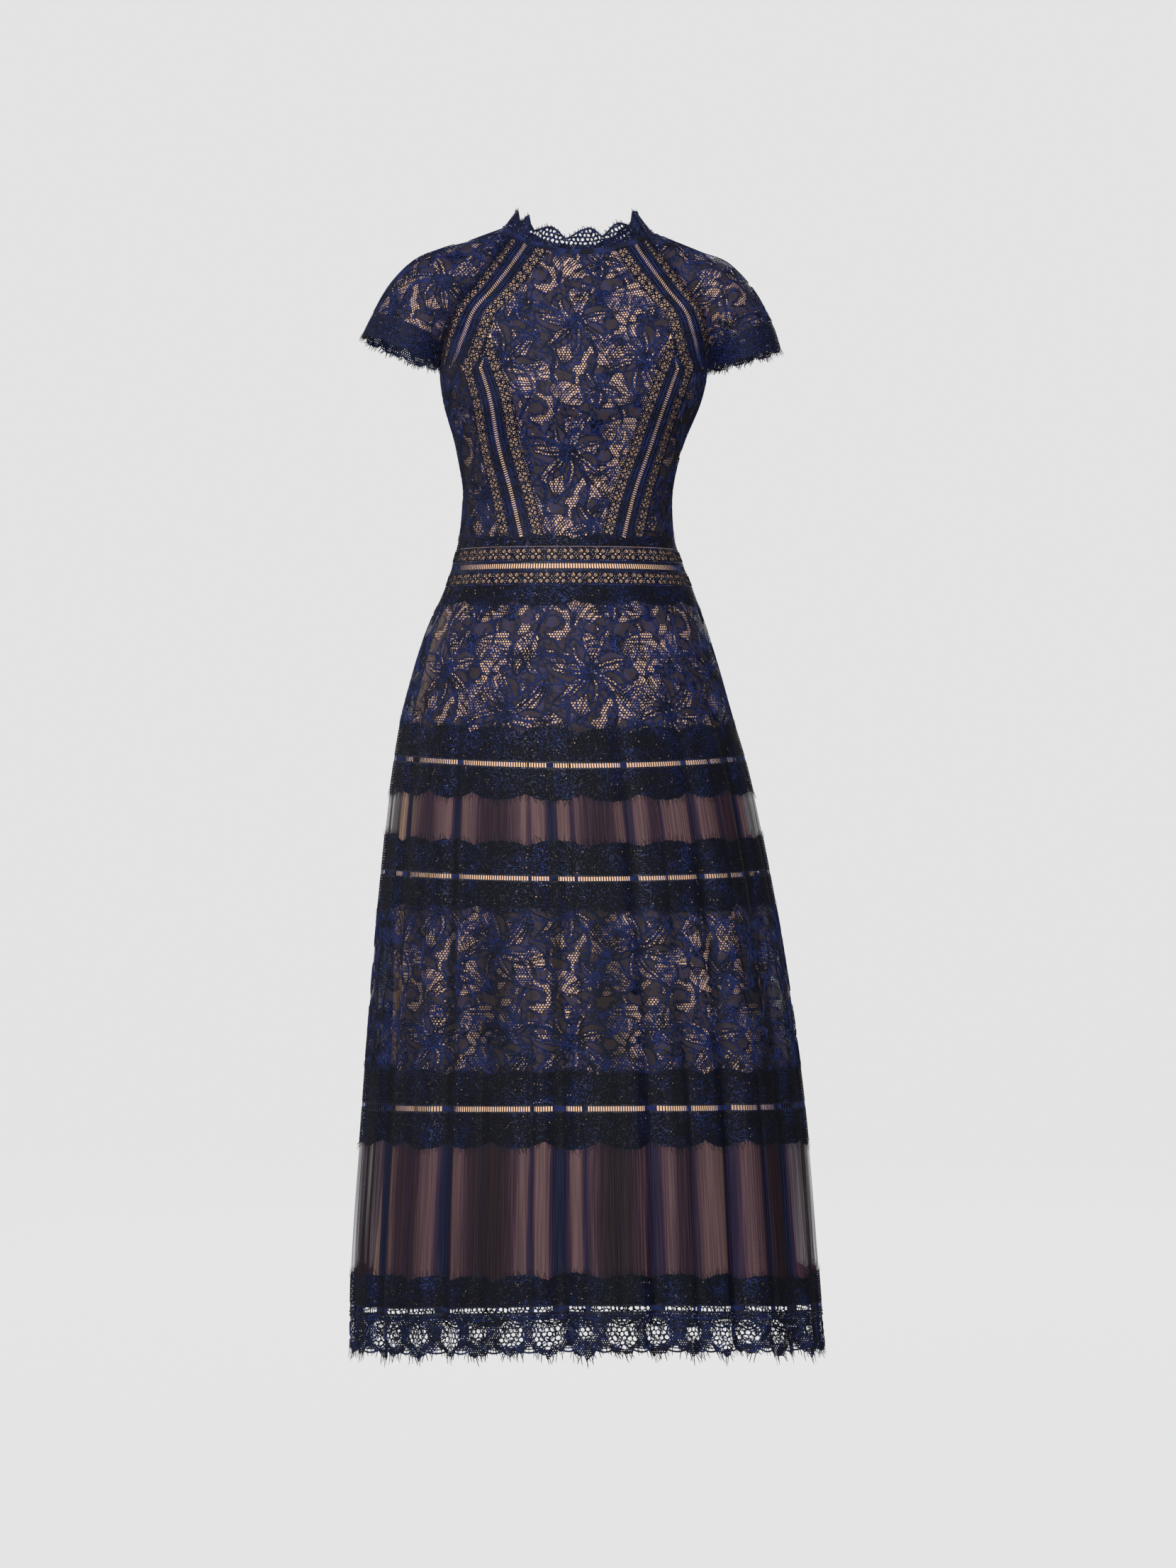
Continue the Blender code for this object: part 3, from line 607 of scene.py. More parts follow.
def scatter(name, shape, spots, material, size=1.0):
    """Copies of a small shape at spots = (points, tangents, outward directions, stretches)."""
    directions = ("tangent", "outward", "stretch")
    seeds = meshObject(name + "_points", np.asarray(spots[0]).tolist())
    setAttributes(seeds.data, "FLOAT_VECTOR", "vector", dict(zip(directions, spots[1:])))
    nodes = seeds.modifiers.new("copies", "NODES")
    nodes.node_group = scatterTree
    for key, value in (("Shape", shape), ("Size", size), ("Finish", material)):
        nodes[scatterSockets[key]] = value
    graph = bpy.context.evaluated_depsgraph_get()
    copies = bpy.data.meshes.new_from_object(seeds.evaluated_get(graph))
    copies.name = name
    for extra in [a.name for a in copies.attributes if a.name in directions]:
        copies.attributes.remove(copies.attributes[extra])
    copies.shade_smooth()
    bpy.data.objects.remove(seeds)
    return newObject(name, copies)


def clothSpots(patch, u, v, du, dv, stretch, lift=0.0, reach=0.0008):
    """Spots on a patch whose tangents point along (du, dv) in the flat cloth."""
    here, normal = patchAt(patch, u, v, lift)
    long = np.sqrt(du**2 + dv**2) + 1e-12
    there, _ = patchAt(patch, u + du / long * reach, v + dv / long * reach, lift)
    return here, unit(there - here), normal, np.broadcast_to(stretch, here.shape)


def mergeSpots(*several):
    return [np.concatenate([spots[k].reshape(-1, 3) for spots in several]) for k in range(4)]


def barShape():
    """A ladder's bar along X, one unit long and a little under a millimetre wide."""
    wide, high = 0.00058, 0.00030
    section = ((-wide, -high), (-wide * 0.6, high), (wide * 0.6, high), (wide, -high))
    points = [(x, y, z) for x in (-0.5, 0.0, 0.5) for y, z in section]
    faces = [(4 * i + k, 4 * i + 4 + k, 4 * i + 5 + k, 4 * i + 1 + k)[::-1]
             for i in range(2) for k in range(3)]
    return meshObject("barShape", points, faces)


def lashShape():
    """A tapered hair along X, one unit long, with a slight curl."""
    points, faces = [], []
    for k, (x, wide) in enumerate(((0, 0.00026), (0.35, 0.00024), (0.7, 0.00019), (1.0, 0.00006))):
        curl = 0.0006 * x * x
        points += [(x, -wide + curl, 0.0004 * x), (x, wide + curl, 0.0004 * x)]
        if k:
            faces.append((2 * k - 2, 2 * k, 2 * k + 1, 2 * k - 1))
    return meshObject("lashShape", points, faces)


def flowerShape(petals=4):
    """A small flower of ringed petals about a ringed eye, one unit across."""
    points, faces = [], []

    def ring(x, y, long, wide, turn, sides, inner):
        first = len(points)
        for k in range(sides):
            a = 2 * math.pi * k / sides
            for scale, high in ((1.0, 0.010), ((1 + inner) / 2, 0.055), (inner, 0.012)):
                px, py = scale * long * math.cos(a), scale * wide * math.sin(a)
                points.append((x + px * math.cos(turn) - py * math.sin(turn),
                               y + px * math.sin(turn) + py * math.cos(turn), high))
        for k in range(sides):
            low, high = first + 3 * k, first + 3 * ((k + 1) % sides)
            faces.append((low, high, high + 1, low + 1))
            faces.append((low + 1, high + 1, high + 2, low + 2))

    for k in range(petals):
        turn = math.pi / 4 + 2 * math.pi * k / petals
        ring(0.315 * math.cos(turn), 0.315 * math.sin(turn), 0.18, 0.15, turn, 8, 0.76)
    ring(0, 0, 0.125, 0.125, 0, 6, 0.60)
    return meshObject("flowerShape", points, faces)


# The floral lace is one repeat of flat cloth, drawn in millimetres.
lace = {
    "repeatWide": 158.0,
    "repeatHigh": 146.0,
    "cord": 0.50,
    "fineCord": 0.44,
    "groundWaves": 60,
    "groundShare": -0.70,
    "wanderLevels": (0.12, 0.9, -0.75, -1.5),
    "ragged": 0.28,
    "seed": 7,
    "fieldStep": 0.8,
    "cordStep": 3.7,
}


def smoothRun(points, step=2.4):
    """A smooth curve through a few points, spaced evenly."""
    points = np.asarray(points, float)
    t = np.arange(len(points))
    fine = np.linspace(0, len(points) - 1, 16 * len(points))
    slopes = np.gradient(points, axis=0)
    k = np.minimum(fine.astype(int), len(points) - 2)
    s = (fine - t[k])[:, None]
    run = ((2 * s**3 - 3 * s**2 + 1) * points[k] + (s**3 - 2 * s**2 + s) * slopes[k]
           + (3 * s**2 - 2 * s**3) * points[k + 1] + (s**3 - s**2) * slopes[k + 1])
    return spaced(run, step)


def spaced(run, step=2.4):
    total = lengths(run)
    at = np.linspace(0, total[-1], max(int(total[-1] / step), 3) + 1)
    return np.column_stack([np.interp(at, total, run[:, axis]) for axis in (0, 1)])


def bentSpine(x, y, angle, length, bend, count=15):
    """A curved middle line, with the direction square to it at each point."""
    t = np.linspace(0, 1, count)
    turned = angle + bend * (t - 0.3)
    steps = np.column_stack([np.cos(turned), np.sin(turned)]) * length / (count - 1)
    spine = np.array([x, y]) + np.concatenate([[[0, 0]], np.cumsum(steps[:-1], axis=0)])
    return spine, np.column_stack([-np.sin(turned), np.cos(turned)]), t


def drawFlower(made, x, y, size, turn, bend, petals=6):
    cords, nets, filled, dense, rows = made
    for k in range(petals):
        angle = turn + 2 * math.pi * k / petals
        length = size * (1.0, 0.86, 1.08)[k % 3]
        wide = size * (0.20, 0.26, 0.17)[k % 3]
        spine, square, t = bentSpine(x, y, angle, length, bend * (1, 1.5, 0.7)[k % 3])
        shape = np.sin(math.pi * t**0.8) ** 0.75 * (1 + 0.10 * np.sin(14 * t + k))
        aside = square * (wide * shape)[:, None]
        left, right = spine + aside, spine - aside
        outline = np.vstack([left, right[::-1]])
        filled.append(outline)
        cords.append((spaced(outline[1:-1]), lace["cord"]))
        cords.append((spaced((spine + aside * 0.24)[2:13]), lace["cord"]))
        cords.append((spaced((spine - aside * 0.20)[2:12]), lace["fineCord"]))
        rows.append(spaced(spine[3:12], 1.2))
        # An open crescent with crossing threads runs down one side of most petals.
        if k % 3 != 1:
            low, high = spine + aside * 0.42, left * 0.96 + spine * 0.04
            nets.append(np.vstack([low[3:12], high[3:12][::-1]]))
            for i in range(4, 12, 2):
                thread = np.array([low[i], (low[i] + high[i]) / 2, high[i]])
                cords.append((thread, lace["fineCord"]))
        else:
            for i in range(3, 12, 2):
                thread = [spine[i], (spine[i] + right[i - 1]) / 2, right[i + 1]]
                cords.append((smoothRun(thread, 2.0), lace["fineCord"]))
    dense.append((x, y, size * 0.21))
    for ring in range(3):
        turns = np.linspace(0, 2 * math.pi, 13) + ring
        radius = size * (0.06 + 0.06 * ring) * (1 + 0.14 * np.cos(5 * turns))
        cords.append((np.column_stack([x + radius * np.cos(turns), y + radius * np.sin(turns)]),
                      lace["cord"]))


def drawFan(made, x, y, angle, length, opening, ribs):
    """A leaf of open net between ribs that spread from its foot."""
    cords, nets, _, dense, _ = made
    turns = angle + np.linspace(-opening / 2, opening / 2, 25)
    lobes = np.abs(np.sin(np.linspace(0, ribs * math.pi, 25)))
    reach = length * (0.90 + 0.13 * lobes) * (1 - 0.18 * np.abs(np.linspace(-1, 1, 25)) ** 2)
    rim = np.column_stack([x + reach * np.cos(turns), y + reach * np.sin(turns)])
    foot = np.array([x, y])
    nets.append(np.vstack([[foot], rim]))
    cords.append((spaced(rim), lace["cord"]))
    for k in range(ribs + 1):
        at = k * 24 // ribs
        bow = 0.10 * length * (k / ribs - 0.5)
        side = np.array([-math.sin(angle), math.cos(angle)]) * bow
        cords.append((smoothRun([foot, (foot + rim[at]) / 2 + side, rim[at]]),
                      lace["cord"] if k in (0, ribs) else lace["fineCord"]))
    dense.append((x, y, length * 0.16))


def drawStripes(made, x, y, angle, length, wide, count):
    """A leaf crossed by curved raised bars, with rows of holes between them."""
    cords, nets, _, _, rows = made
    spine, square, t = bentSpine(x, y, angle, length, 0.5)
    reach = square * (wide * np.sin(math.pi * (0.08 + 0.86 * t)) ** 0.7)[:, None]
    left, right = spine + reach, spine - reach
    nets.append(np.vstack([left, right[::-1]]))
    cords.append((spaced(np.vstack([left, right[::-1], left[:1]])), lace["cord"]))
    for k in np.linspace(1, 12, count).astype(int):
        middle = spine[k] * 0.5 + spine[k + 1] * 0.5
        rib = smoothRun([left[k], middle, right[min(k + 2, 14)]], 2.0)
        cords.append((rib, lace["cord"] * 1.25))
        rows.append(rib + (spine[k + 1] - spine[k]) * 0.7)


def drawStem(made, points, gap=1.5):
    run = smoothRun(points)
    way = np.gradient(run, axis=0)
    square = unit(np.column_stack([-way[:, 1], way[:, 0]]))
    made[0].append((run + square * gap / 2, lace["cord"]))
    made[0].append((run - square * gap / 2, lace["fineCord"]))
    beside = run - square * (gap + 1.6)
    for k in range(1, len(run) - 4, 7):
        made[4].append(beside[k:k + 4])


def groundPatches(x, y, w, h):
    """A smooth field that repeats with the lace: above zero the ground is left as open net."""
    rng = np.random.default_rng(lace["seed"])
    height = 0.0
    for least, most, share in ((3, 8, 1.0), (13, 21, lace["ragged"])):
        total = np.zeros(x.shape)
        for _ in range(lace["groundWaves"]):
            i, j = rng.integers(-most, most + 1), rng.integers(-most, most + 1)
            if least <= math.hypot(i, j) <= most:
                total += np.cos(2 * math.pi * (i * x / w + j * y / h) + rng.uniform(0, 2 * math.pi))
        height = height + share * total / total.std()
    return height


def drawLace():
    made = ([], [], [], [], [])
    for leaf in (
        (64, 14, 0.35, 50, 1.35, 6), (106, 130, 3.5, 48, 1.25, 6), (78, 96, -2.2, 26, 1.3, 4),
        (22, 92, -1.35, 30, 1.3, 4), (150, 60, 2.6, 30, 1.2, 4),
    ):
        drawFan(made, *leaf)
    for leaf in (
        (58, 62, 0.55, 42, 13.0, 10), (136, 4, 2.2, 38, 11.5, 9), (10, 116, 0.4, 40, 12.0, 9),
        (148, 128, -1.9, 36, 11.0, 9), (88, 70, -0.9, 30, 8.0, 9), (30, 4, 1.1, 28, 8.0, 8),
        (104, 20, 2.9, 30, 8.5, 9), (148, 86, 0.9, 28, 8.0, 8),
    ):
        drawStripes(made, *leaf)
    for flower in (
        (34, 44, 47, 0.5, 0.9, 7), (112, 86, 48, 1.1, -0.9, 7), (62, 118, 27, 0.2, 0.8, 5),
        (128, 30, 25, 0.9, -0.7, 5),
    ):
        drawFlower(made, *flower)
    for stem in (
        [(34, 44), (50, 60), (58, 84), (54, 104), (62, 118)],
        [(112, 86), (96, 66), (92, 44), (104, 30), (128, 30)],
        [(128, 30), (150, 26), (172, 30), (192, 44)],
        [(62, 118), (80, 132), (90, 150), (86, 170), (74, 186)],
        [(112, 86), (136, 96), (148, 118), (140, 140), (128, 176)],
    ):
        drawStem(made, stem)
    drawStem(made, [(4, 70), (12, 84), (10, 104), (20, 120), (16, 144)], 2.2)
    return made, lace["repeatWide"], lace["repeatHigh"]


def signedDistance(x, y, outline):
    """Distance in from an outline, negative outside it."""
    starts, ends = outline, np.roll(outline, -1, axis=0)
    least = np.full(x.shape, 1e9)
    inside = np.zeros(x.shape, bool)
    for (ax, ay), (bx, by) in zip(starts, ends):
        dx, dy = bx - ax, by - ay
        t = np.clip(((x - ax) * dx + (y - ay) * dy) / (dx * dx + dy * dy + 1e-9), 0, 1)
        least = np.minimum(least, np.hypot(x - ax - t * dx, y - ay - t * dy))
        crosses = (ay > y) != (by > y)
        inside ^= crosses & (x < ax + (y - ay) / (by - ay + 1e-12) * dx)
    return np.where(inside, least, -least)


def fieldOfLace():
    """How far into open net, and how near to a cord, each place of the repeat is."""
    (cords, nets, filled, dense, rows), w, h = drawLace()
    step = lace["fieldStep"]
    xs, ys = np.arange(0, w, step), np.arange(0, h, step)
    x, y = np.meshgrid(xs, ys)

    def over(grid, outline, value, combine):
        for shiftX in (-w, 0, w):
            for shiftY in (-h, 0, h):
                part = outline + [shiftX, shiftY]
                low, high = part.min(axis=0) - 4, part.max(axis=0) + 4
                i0, i1 = np.searchsorted(ys, [low[1], high[1]])
                j0, j1 = np.searchsorted(xs, [low[0], high[0]])
                if i1 > i0 and j1 > j0:
                    box = (slice(i0, i1), slice(j0, j1))
                    grid[box] = combine(grid[box], value(x[box], y[box], part))

    opened = np.full(x.shape, -4.0)
    near, row = np.full(x.shape, 4.0), np.full(x.shape, 4.0)
    for outline in nets:
        over(opened, outline, signedDistance, np.maximum)
    covered = np.full(x.shape, -4.0)
    for outline in filled:
        over(covered, outline, signedDistance, np.maximum)
    crescents = np.full(x.shape, -4.0)
    for outline in nets:
        if len(outline) == 18:
            over(crescents, outline, signedDistance, np.maximum)
    height = groundPatches(x, y, w, h) + lace["groundShare"]
    steep = np.maximum(np.hypot(*np.gradient(height, step)), 0.08)
    blobs = np.clip(height / steep, -4, 4)
    wander = np.full(x.shape, 4.0)
    for level in lace["wanderLevels"]:
        wander = np.minimum(wander, np.abs(height - level) / steep)

    def offLine(a, b, part):
        return np.abs(signedDistance(a, b, np.vstack([part, part[::-1]])))
    for run, _ in cords:
        over(near, run, offLine, np.minimum)
    for run in rows:
        over(row, run, offLine, np.minimum)
    # The ground's open patches keep clear of the cords, and a flat worked line edges them.
    ground = np.minimum(blobs - 1.0, np.minimum(near - 1.1, -covered - 0.8))
    opened = np.maximum(np.minimum(opened, -covered), crescents)
    opened = np.maximum(opened, ground)
    near = np.where((covered < 0) & (opened < ground + 4), np.minimum(near, wander + 0.25), near)
    turns = np.linspace(0, 2 * math.pi, 17)[:-1]
    for cx, cy, radius in dense:
        disc = np.column_stack([cx + radius * np.cos(turns), cy + radius * np.sin(turns)])
        over(near, disc, lambda a, b, part: np.clip(-signedDistance(a, b, part), 0, 4), np.minimum)
    return {"open": opened, "near": near, "row": row}, cords, w, h, step


laceField, laceCords, laceWide, laceHigh, laceStep = fieldOfLace()
laceCords = [(spaced(run, lace["cordStep"]), wide) for run, wide in laceCords]
print("lace drawn:", len(laceCords), "cords in one repeat")


def laceValues(scaleX, offset):
    """The lace's values at places of a patch, for a repeat that is fitted to its width."""
    def field(patch, u, v):
        x = (u * 1000 / scaleX + offset[0]) % laceWide / laceStep
        y = (v * 1000 + offset[1]) % laceHigh / laceStep
        values = {}
        for name, grid in laceField.items():
            rows, columns = grid.shape
            i, j = np.floor(y).astype(int), np.floor(x).astype(int)
            s, t = y - i, x - j
            i, j = i % rows, j % columns
            i2, j2 = (i + 1) % rows, (j + 1) % columns
            values[name] = ((grid[i, j] * (1 - t) + grid[i, j2] * t) * (1 - s)
                            + (grid[i2, j] * (1 - t) + grid[i2, j2] * t) * s)
        return values
    return field


def laceRuns(scaleX, offset, uRange, vRange):
    """The repeat's cords in metres, over a range of the flat cloth."""
    runs = []
    low = np.array([uRange[0] * 1000 / scaleX + offset[0], vRange[0] * 1000 + offset[1]])
    high = np.array([uRange[1] * 1000 / scaleX + offset[0], vRange[1] * 1000 + offset[1]])
    for i in range(int(low[0] // laceWide) - 1, int(high[0] // laceWide) + 2):
        for j in range(int(low[1] // laceHigh) - 1, int(high[1] // laceHigh) + 2):
            for run, wide in laceCords:
                moved = run + [i * laceWide, j * laceHigh]
                if np.any(moved.max(axis=0) < low) or np.any(moved.min(axis=0) > high):
                    continue
                u = (moved[:, 0] - offset[0]) * scaleX / 1000
                runs.append((np.column_stack([u, (moved[:, 1] - offset[1]) / 1000]), wide / 1000))
    return runs


# Materials
def maths(tree, operation, *values, clamp=False):
    return put(tree, "ShaderNodeMath", dict(enumerate(values)), operation=operation,
               use_clamp=clamp)


def vectors(tree, operation, first, second, out="Vector"):
    return put(tree, "ShaderNodeVectorMath", {0: first, 1: second}, out, operation=operation)


def mix(tree, factor, first, second):
    colours = {0: factor, 6: first, 7: second}
    return put(tree, "ShaderNodeMix", colours, 2, data_type="RGBA")


def noise(tree, vector, scale, detail=2.0, roughness=0.5):
    return put(tree, "ShaderNodeTexNoise", {
        "Vector": vector, "Scale": scale, "Detail": detail, "Roughness": roughness}, "Fac")


def wave(tree, vector, scale, distortion, direction="DIAGONAL", **inputs):
    given = {"Vector": vector, "Scale": scale, "Distortion": distortion, **inputs}
    return put(tree, "ShaderNodeTexWave", given, "Fac", bands_direction=direction)


def shade(red, green, blue):
    """A colour given as on a screen, from 0 to 255."""
    return tuple((c / 255 / 12.92) if c <= 10 else ((c / 255 + 0.055) / 1.055) ** 2.4
                 for c in (red, green, blue)) + (1.0,)


def makeGroup(name, numbers, results):
    """A node group that is given a vector and named numbers, and gives named numbers."""
    tree = bpy.data.node_groups.new(name, "ShaderNodeTree")
    socketOf(tree, "Vector", "NodeSocketVector")
    for socket in numbers:
        socketOf(tree, socket, "NodeSocketFloat")
    for socket in results:
        socketOf(tree, socket, "NodeSocketFloat", "OUTPUT")
    end = tree.nodes.new("NodeGroupOutput").inputs
    return tree, groupInputs(tree), lambda socket, value: tree.links.new(value.socket, end[socket])


def makeNetGroup():
    """A hexagonal net: the value peaks in the middle of each hole."""
    tree, given, give = makeGroup("hexNet", ("Cell", "Wander"), ("Hole",))
    settings = {"Vector": given["Vector"], "Scale": 0.12, "Detail": 1.0}
    wander = put(tree, "ShaderNodeTexNoise", settings, "Color")
    centred = vectors(tree, "SUBTRACT", wander, (0.5, 0.5, 0.5))
    moved = vectors(tree, "ADD", scaled(tree, centred, given["Wander"]), given["Vector"])
    pace = maths(tree, "DIVIDE", 4 * math.pi / math.sqrt(3), given["Cell"])
    place = scaled(tree, moved, pace)
    waves = []
    for turn in (90, 210, 330):
        way = (math.cos(math.radians(turn)), math.sin(math.radians(turn)), 0)
        waves.append(maths(tree, "COSINE", vectors(tree, "DOT_PRODUCT", place, way, "Value")))
    give("Hole", waves[0] + waves[1] + waves[2])
    return tree


def makeWormGroup():
    """Curly threads laid close together, as on a densely embroidered ground."""
    tree, given, give = makeGroup("curledThread", ("Size", "Turns"), ("Thread", "Patch"))
    place = scaled(tree, given["Vector"], maths(tree, "DIVIDE", 1.0, given["Size"]))
    bands = maths(tree, "SINE", noise(tree, place, 0.18, 1.5, 0.4) * given["Turns"])
    give("Thread", bands.step(-0.45, 0.75))
    give("Patch", noise(tree, place, 0.035, 2.0))
    return tree


def makeFloretGroup():
    """Four-petalled florets in a row. The vector runs along and across the galloon."""
    tree, given, give = makeGroup("floretRow", ("Pitch", "Size"), ("Hole", "Inside"))
    along_ = put(tree, "ShaderNodeSeparateXYZ", {0: given["Vector"]}, "X")
    y = put(tree, "ShaderNodeSeparateXYZ", {0: given["Vector"]}, "Y")
    x = (maths(tree, "FRACT", along_ / given["Pitch"]) - 0.5) * given["Pitch"]
    radius = maths(tree, "SQRT", x * x + y * y) / given["Size"]
    turn = maths(tree, "ARCTAN2", y, x)
    lobes = maths(tree, "COSINE", turn * 4.0)
    rim = 0.34 - lobes * 0.13
    rib = maths(tree, "ABSOLUTE", maths(tree, "SINE", turn * 2.0)).step(0.90, 0.97)
    petal = (rim - radius).step(0.0, 0.03) * radius.step(0.15, 0.18) * lobes.step(0.25, -0.1)
    eye = radius.step(0.085, 0.055)
    give("Hole", (petal * (1.0 - rib * 0.8)).most(eye))
    give("Inside", (radius - rim).step(0.10, 0.04))
    return tree


netGroup, wormGroup, floretGroup = makeNetGroup(), makeWormGroup(), makeFloretGroup()


def useGroup(tree, group, out, vector, **numbers):
    return put(tree, "ShaderNodeGroup", {"Vector": vector, **numbers}, out, node_tree=group)


def useNet(tree, vector, cell, wander=0.0):
    return useGroup(tree, netGroup, "Hole", vector, Cell=cell, Wander=wander)


def useWorm(tree, vector, size, turns, out="Thread"):
    return useGroup(tree, wormGroup, out, vector, Size=size, Turns=turns)


def newMaterial(name, roughness=0.6, specular=0.35):
    material = bpy.data.materials.new(name)
    material.use_nodes = True
    tree = material.node_tree
    inputs = tree.nodes["Principled BSDF"].inputs
    inputs["Roughness"].default_value = roughness
    inputs["Specular IOR Level"].default_value = specular
    inputs["Sheen Roughness"].default_value = 0.4
    return material, tree, inputs


def newCloth(name, roughness, specular):
    """A new material, with the cloth's own coordinates in millimetres."""
    made = newMaterial(name, roughness, specular)
    flat = put(made[1], "ShaderNodeUVMap", None, "UV", uv_map="cloth")
    return made, made[1], scaled(made[1], flat, 1000.0)


def objectPlace(tree):
    return scaled(tree, put(tree, "ShaderNodeTexCoord", None, "Object"), 1000.0)


def attribute(tree, name):
    return put(tree, "ShaderNodeAttribute", None, "Fac", attribute_name=name)


def finished(made, height, depth, **links):
    """Joins the values to the shader's sockets, and the height to its normal."""
    material, tree, inputs = made
    links["Normal"] = put(tree, "ShaderNodeBump", {"Height": height, "Strength": 0.8,
                                                   "Distance": depth}, "Normal")
    for name, value in links.items():
        tree.links.new(value.socket, inputs[name.replace("_", " ")])
    return material


navy, deepNavy, brightNavy = shade(12, 17, 44), shade(3, 4, 10), shade(26, 38, 88)
# How strongly the painted fold shade darkens the cloth and closes its holes.
foldShadeShare = 0.8


def folded(tree):
    """The larger of how far the cloth is folded double and how far it turns from the light at its
    folds: the strength of the painted fold shade.
    """
    return attribute(tree, "doubled").most(attribute(tree, "shaded")) * foldShadeShare


def paintFoldShade(tree, colour):
    """Darkens the cloth towards deep navy where it is folded double and where it turns from the
    light: painted shade at the folds.
    """
    return mix(tree, folded(tree), colour, deepNavy)


def covered(tree, through):
    """Holes close where the cloth is folded double and where it turns from the light, so the
    painted fold shade is not lit through.
    """
    return through * (1.0 - folded(tree))


def floralMaterial():
    made, tree, flat = newCloth("floralLace", 0.62, 0.12)
    plum, grey, wearAndSheen = shade(41, 35, 45), shade(26, 25, 36), shade(52, 46, 62)
    thin = attribute(tree, "thin")
    netting = (attribute(tree, "open") + thin).step(-0.2, 0.5)
    near = attribute(tree, "near").step(0.35, 1.35, 1.0, 0.0)
    hole = useNet(tree, flat, 3.0, 0.5).step(-0.05, 0.45)
    beads = useNet(tree, flat, 3.2, 0.8).step(0.15, 0.6) * noise(tree, flat, 0.07).step(0.42, 0.50)
    row = attribute(tree, "row").step(0.8, 1.3, 1.0, 0.0) * beads
    thread = useWorm(tree, flat, 1.0, 34.0)
    ribs = noise(tree, vectors(tree, "MULTIPLY", flat, (1.6, 0.12, 1)), 1.0)
    patches = noise(tree, flat, 0.05)
    # Curled threads in deep and bright navy: partly the threads' own colour, partly a painted
    # highlight on their tops.
    threads = mix(tree, thread, deepNavy, brightNavy)
    fill = mix(tree, patches.step(0.38, 0.62), grey, plum)
    # Streaks along the ribs take a lighter plum: a painted sheen.
    fill = mix(tree, ribs.step(0.45, 0.70, 0.0, 0.4), fill, wearAndSheen)
    fill = mix(tree, thread * patches.step(0.50, 0.58) * 0.7, fill, threads)
    colour = mix(tree, near.most(netting.most(row)), fill, threads)
    through = covered(tree, (netting * hole * (1.0 - near * 0.8)).most(row))
    ground = near * 0.1 + 0.98 - thin * 0.30
    # The colour darkens as painted shade at the skirt's folds and towards the bodice's sides, and
    # the holes close there.
    return finished(made, thread * near + ribs * 0.5 - through * 0.6, 0.0006,
                    Base_Color=paintFoldShade(tree, colour), Alpha=(1.0 - through * 0.99) * ground,
                    Roughness=near.step(0.0, 1.0, 0.75, 0.55))


def bandMaterial():
    made, tree, flat = newCloth("eyelashBand", 0.6, 0.15)
    thread = useWorm(tree, flat, 1.15, 40.0)
    # The threads turn bright navy only in patches: partly the threads' own colour, partly a painted
    # highlight, sparse as on lit satin.
    lively = useWorm(tree, flat, 1.15, 40.0, "Patch").step(0.40, 0.68, 0.12, 0.6)
    colour = mix(tree, thread * lively, shade(2, 3, 8), brightNavy)
    pins = useNet(tree, flat, 3.4, 5.0).step(2.05, 2.6) * noise(tree, flat, 0.16).step(0.60, 0.70)
    airy = useNet(tree, flat, 3.2, 3.0).step(1.0, 1.6) * attribute(tree, "thin").step(0.80, 1.0)
    # The colour darkens as painted shade at the skirt's folds, and the pinholes close there.
    return finished(made, thread, 0.0008, Base_Color=paintFoldShade(tree, colour),
                    Alpha=1.0 - covered(tree, pins.most(airy)),
                    Roughness=thread.step(0.0, 1.0, 0.78, 0.55))


def galloonMaterial(name, pitch):
    made, tree, flat = newCloth(name, 0.6, 0.12)
    size = {"Pitch": pitch, "Size": pitch * 0.98}
    petals = useGroup(tree, floretGroup, "Hole", flat, **size)
    inside = useGroup(tree, floretGroup, "Inside", flat, **size)
    hole = useNet(tree, flat, 2.6, 2.4).step(1.7, 2.2) * (1.0 - inside)
    through = (hole * noise(tree, flat, 0.2).step(0.40, 0.54)).most(petals * 0.84)
    thread = useWorm(tree, flat, 0.9, 30.0)
    colour = mix(tree, thread, shade(4, 5, 14), shade(20, 25, 54))
    return finished(made, thread - through, 0.0005, Base_Color=paintFoldShade(tree, colour),
                    Alpha=1.0 - through * 0.97)


def openLace(name, net, thread, pins, patch, dark, threadShare, clear, depth):
    """A lace of wide net where "open" is above zero, with pinholes in patches elsewhere."""
    made, tree, flat = newCloth(name, 0.6, 0.15)
    cell, wander, low, high, first, last = net
    wide = useNet(tree, flat, cell, wander).step(low, high)
    wide = wide * attribute(tree, "open").step(first, last)
    cell, wander, low, high = pins
    small = useNet(tree, flat, cell, wander).step(low, high)
    through = wide.most(small * noise(tree, flat, patch[0]).step(*patch[1:]))
    curls = useWorm(tree, flat, *thread)
    # The colour darkens as painted shade at the skirt's folds.
    colour = paintFoldShade(tree, mix(tree, curls * threadShare, dark, brightNavy))
    return finished(made, curls - through, depth, Base_Color=colour, Alpha=1.0 - through * clear)


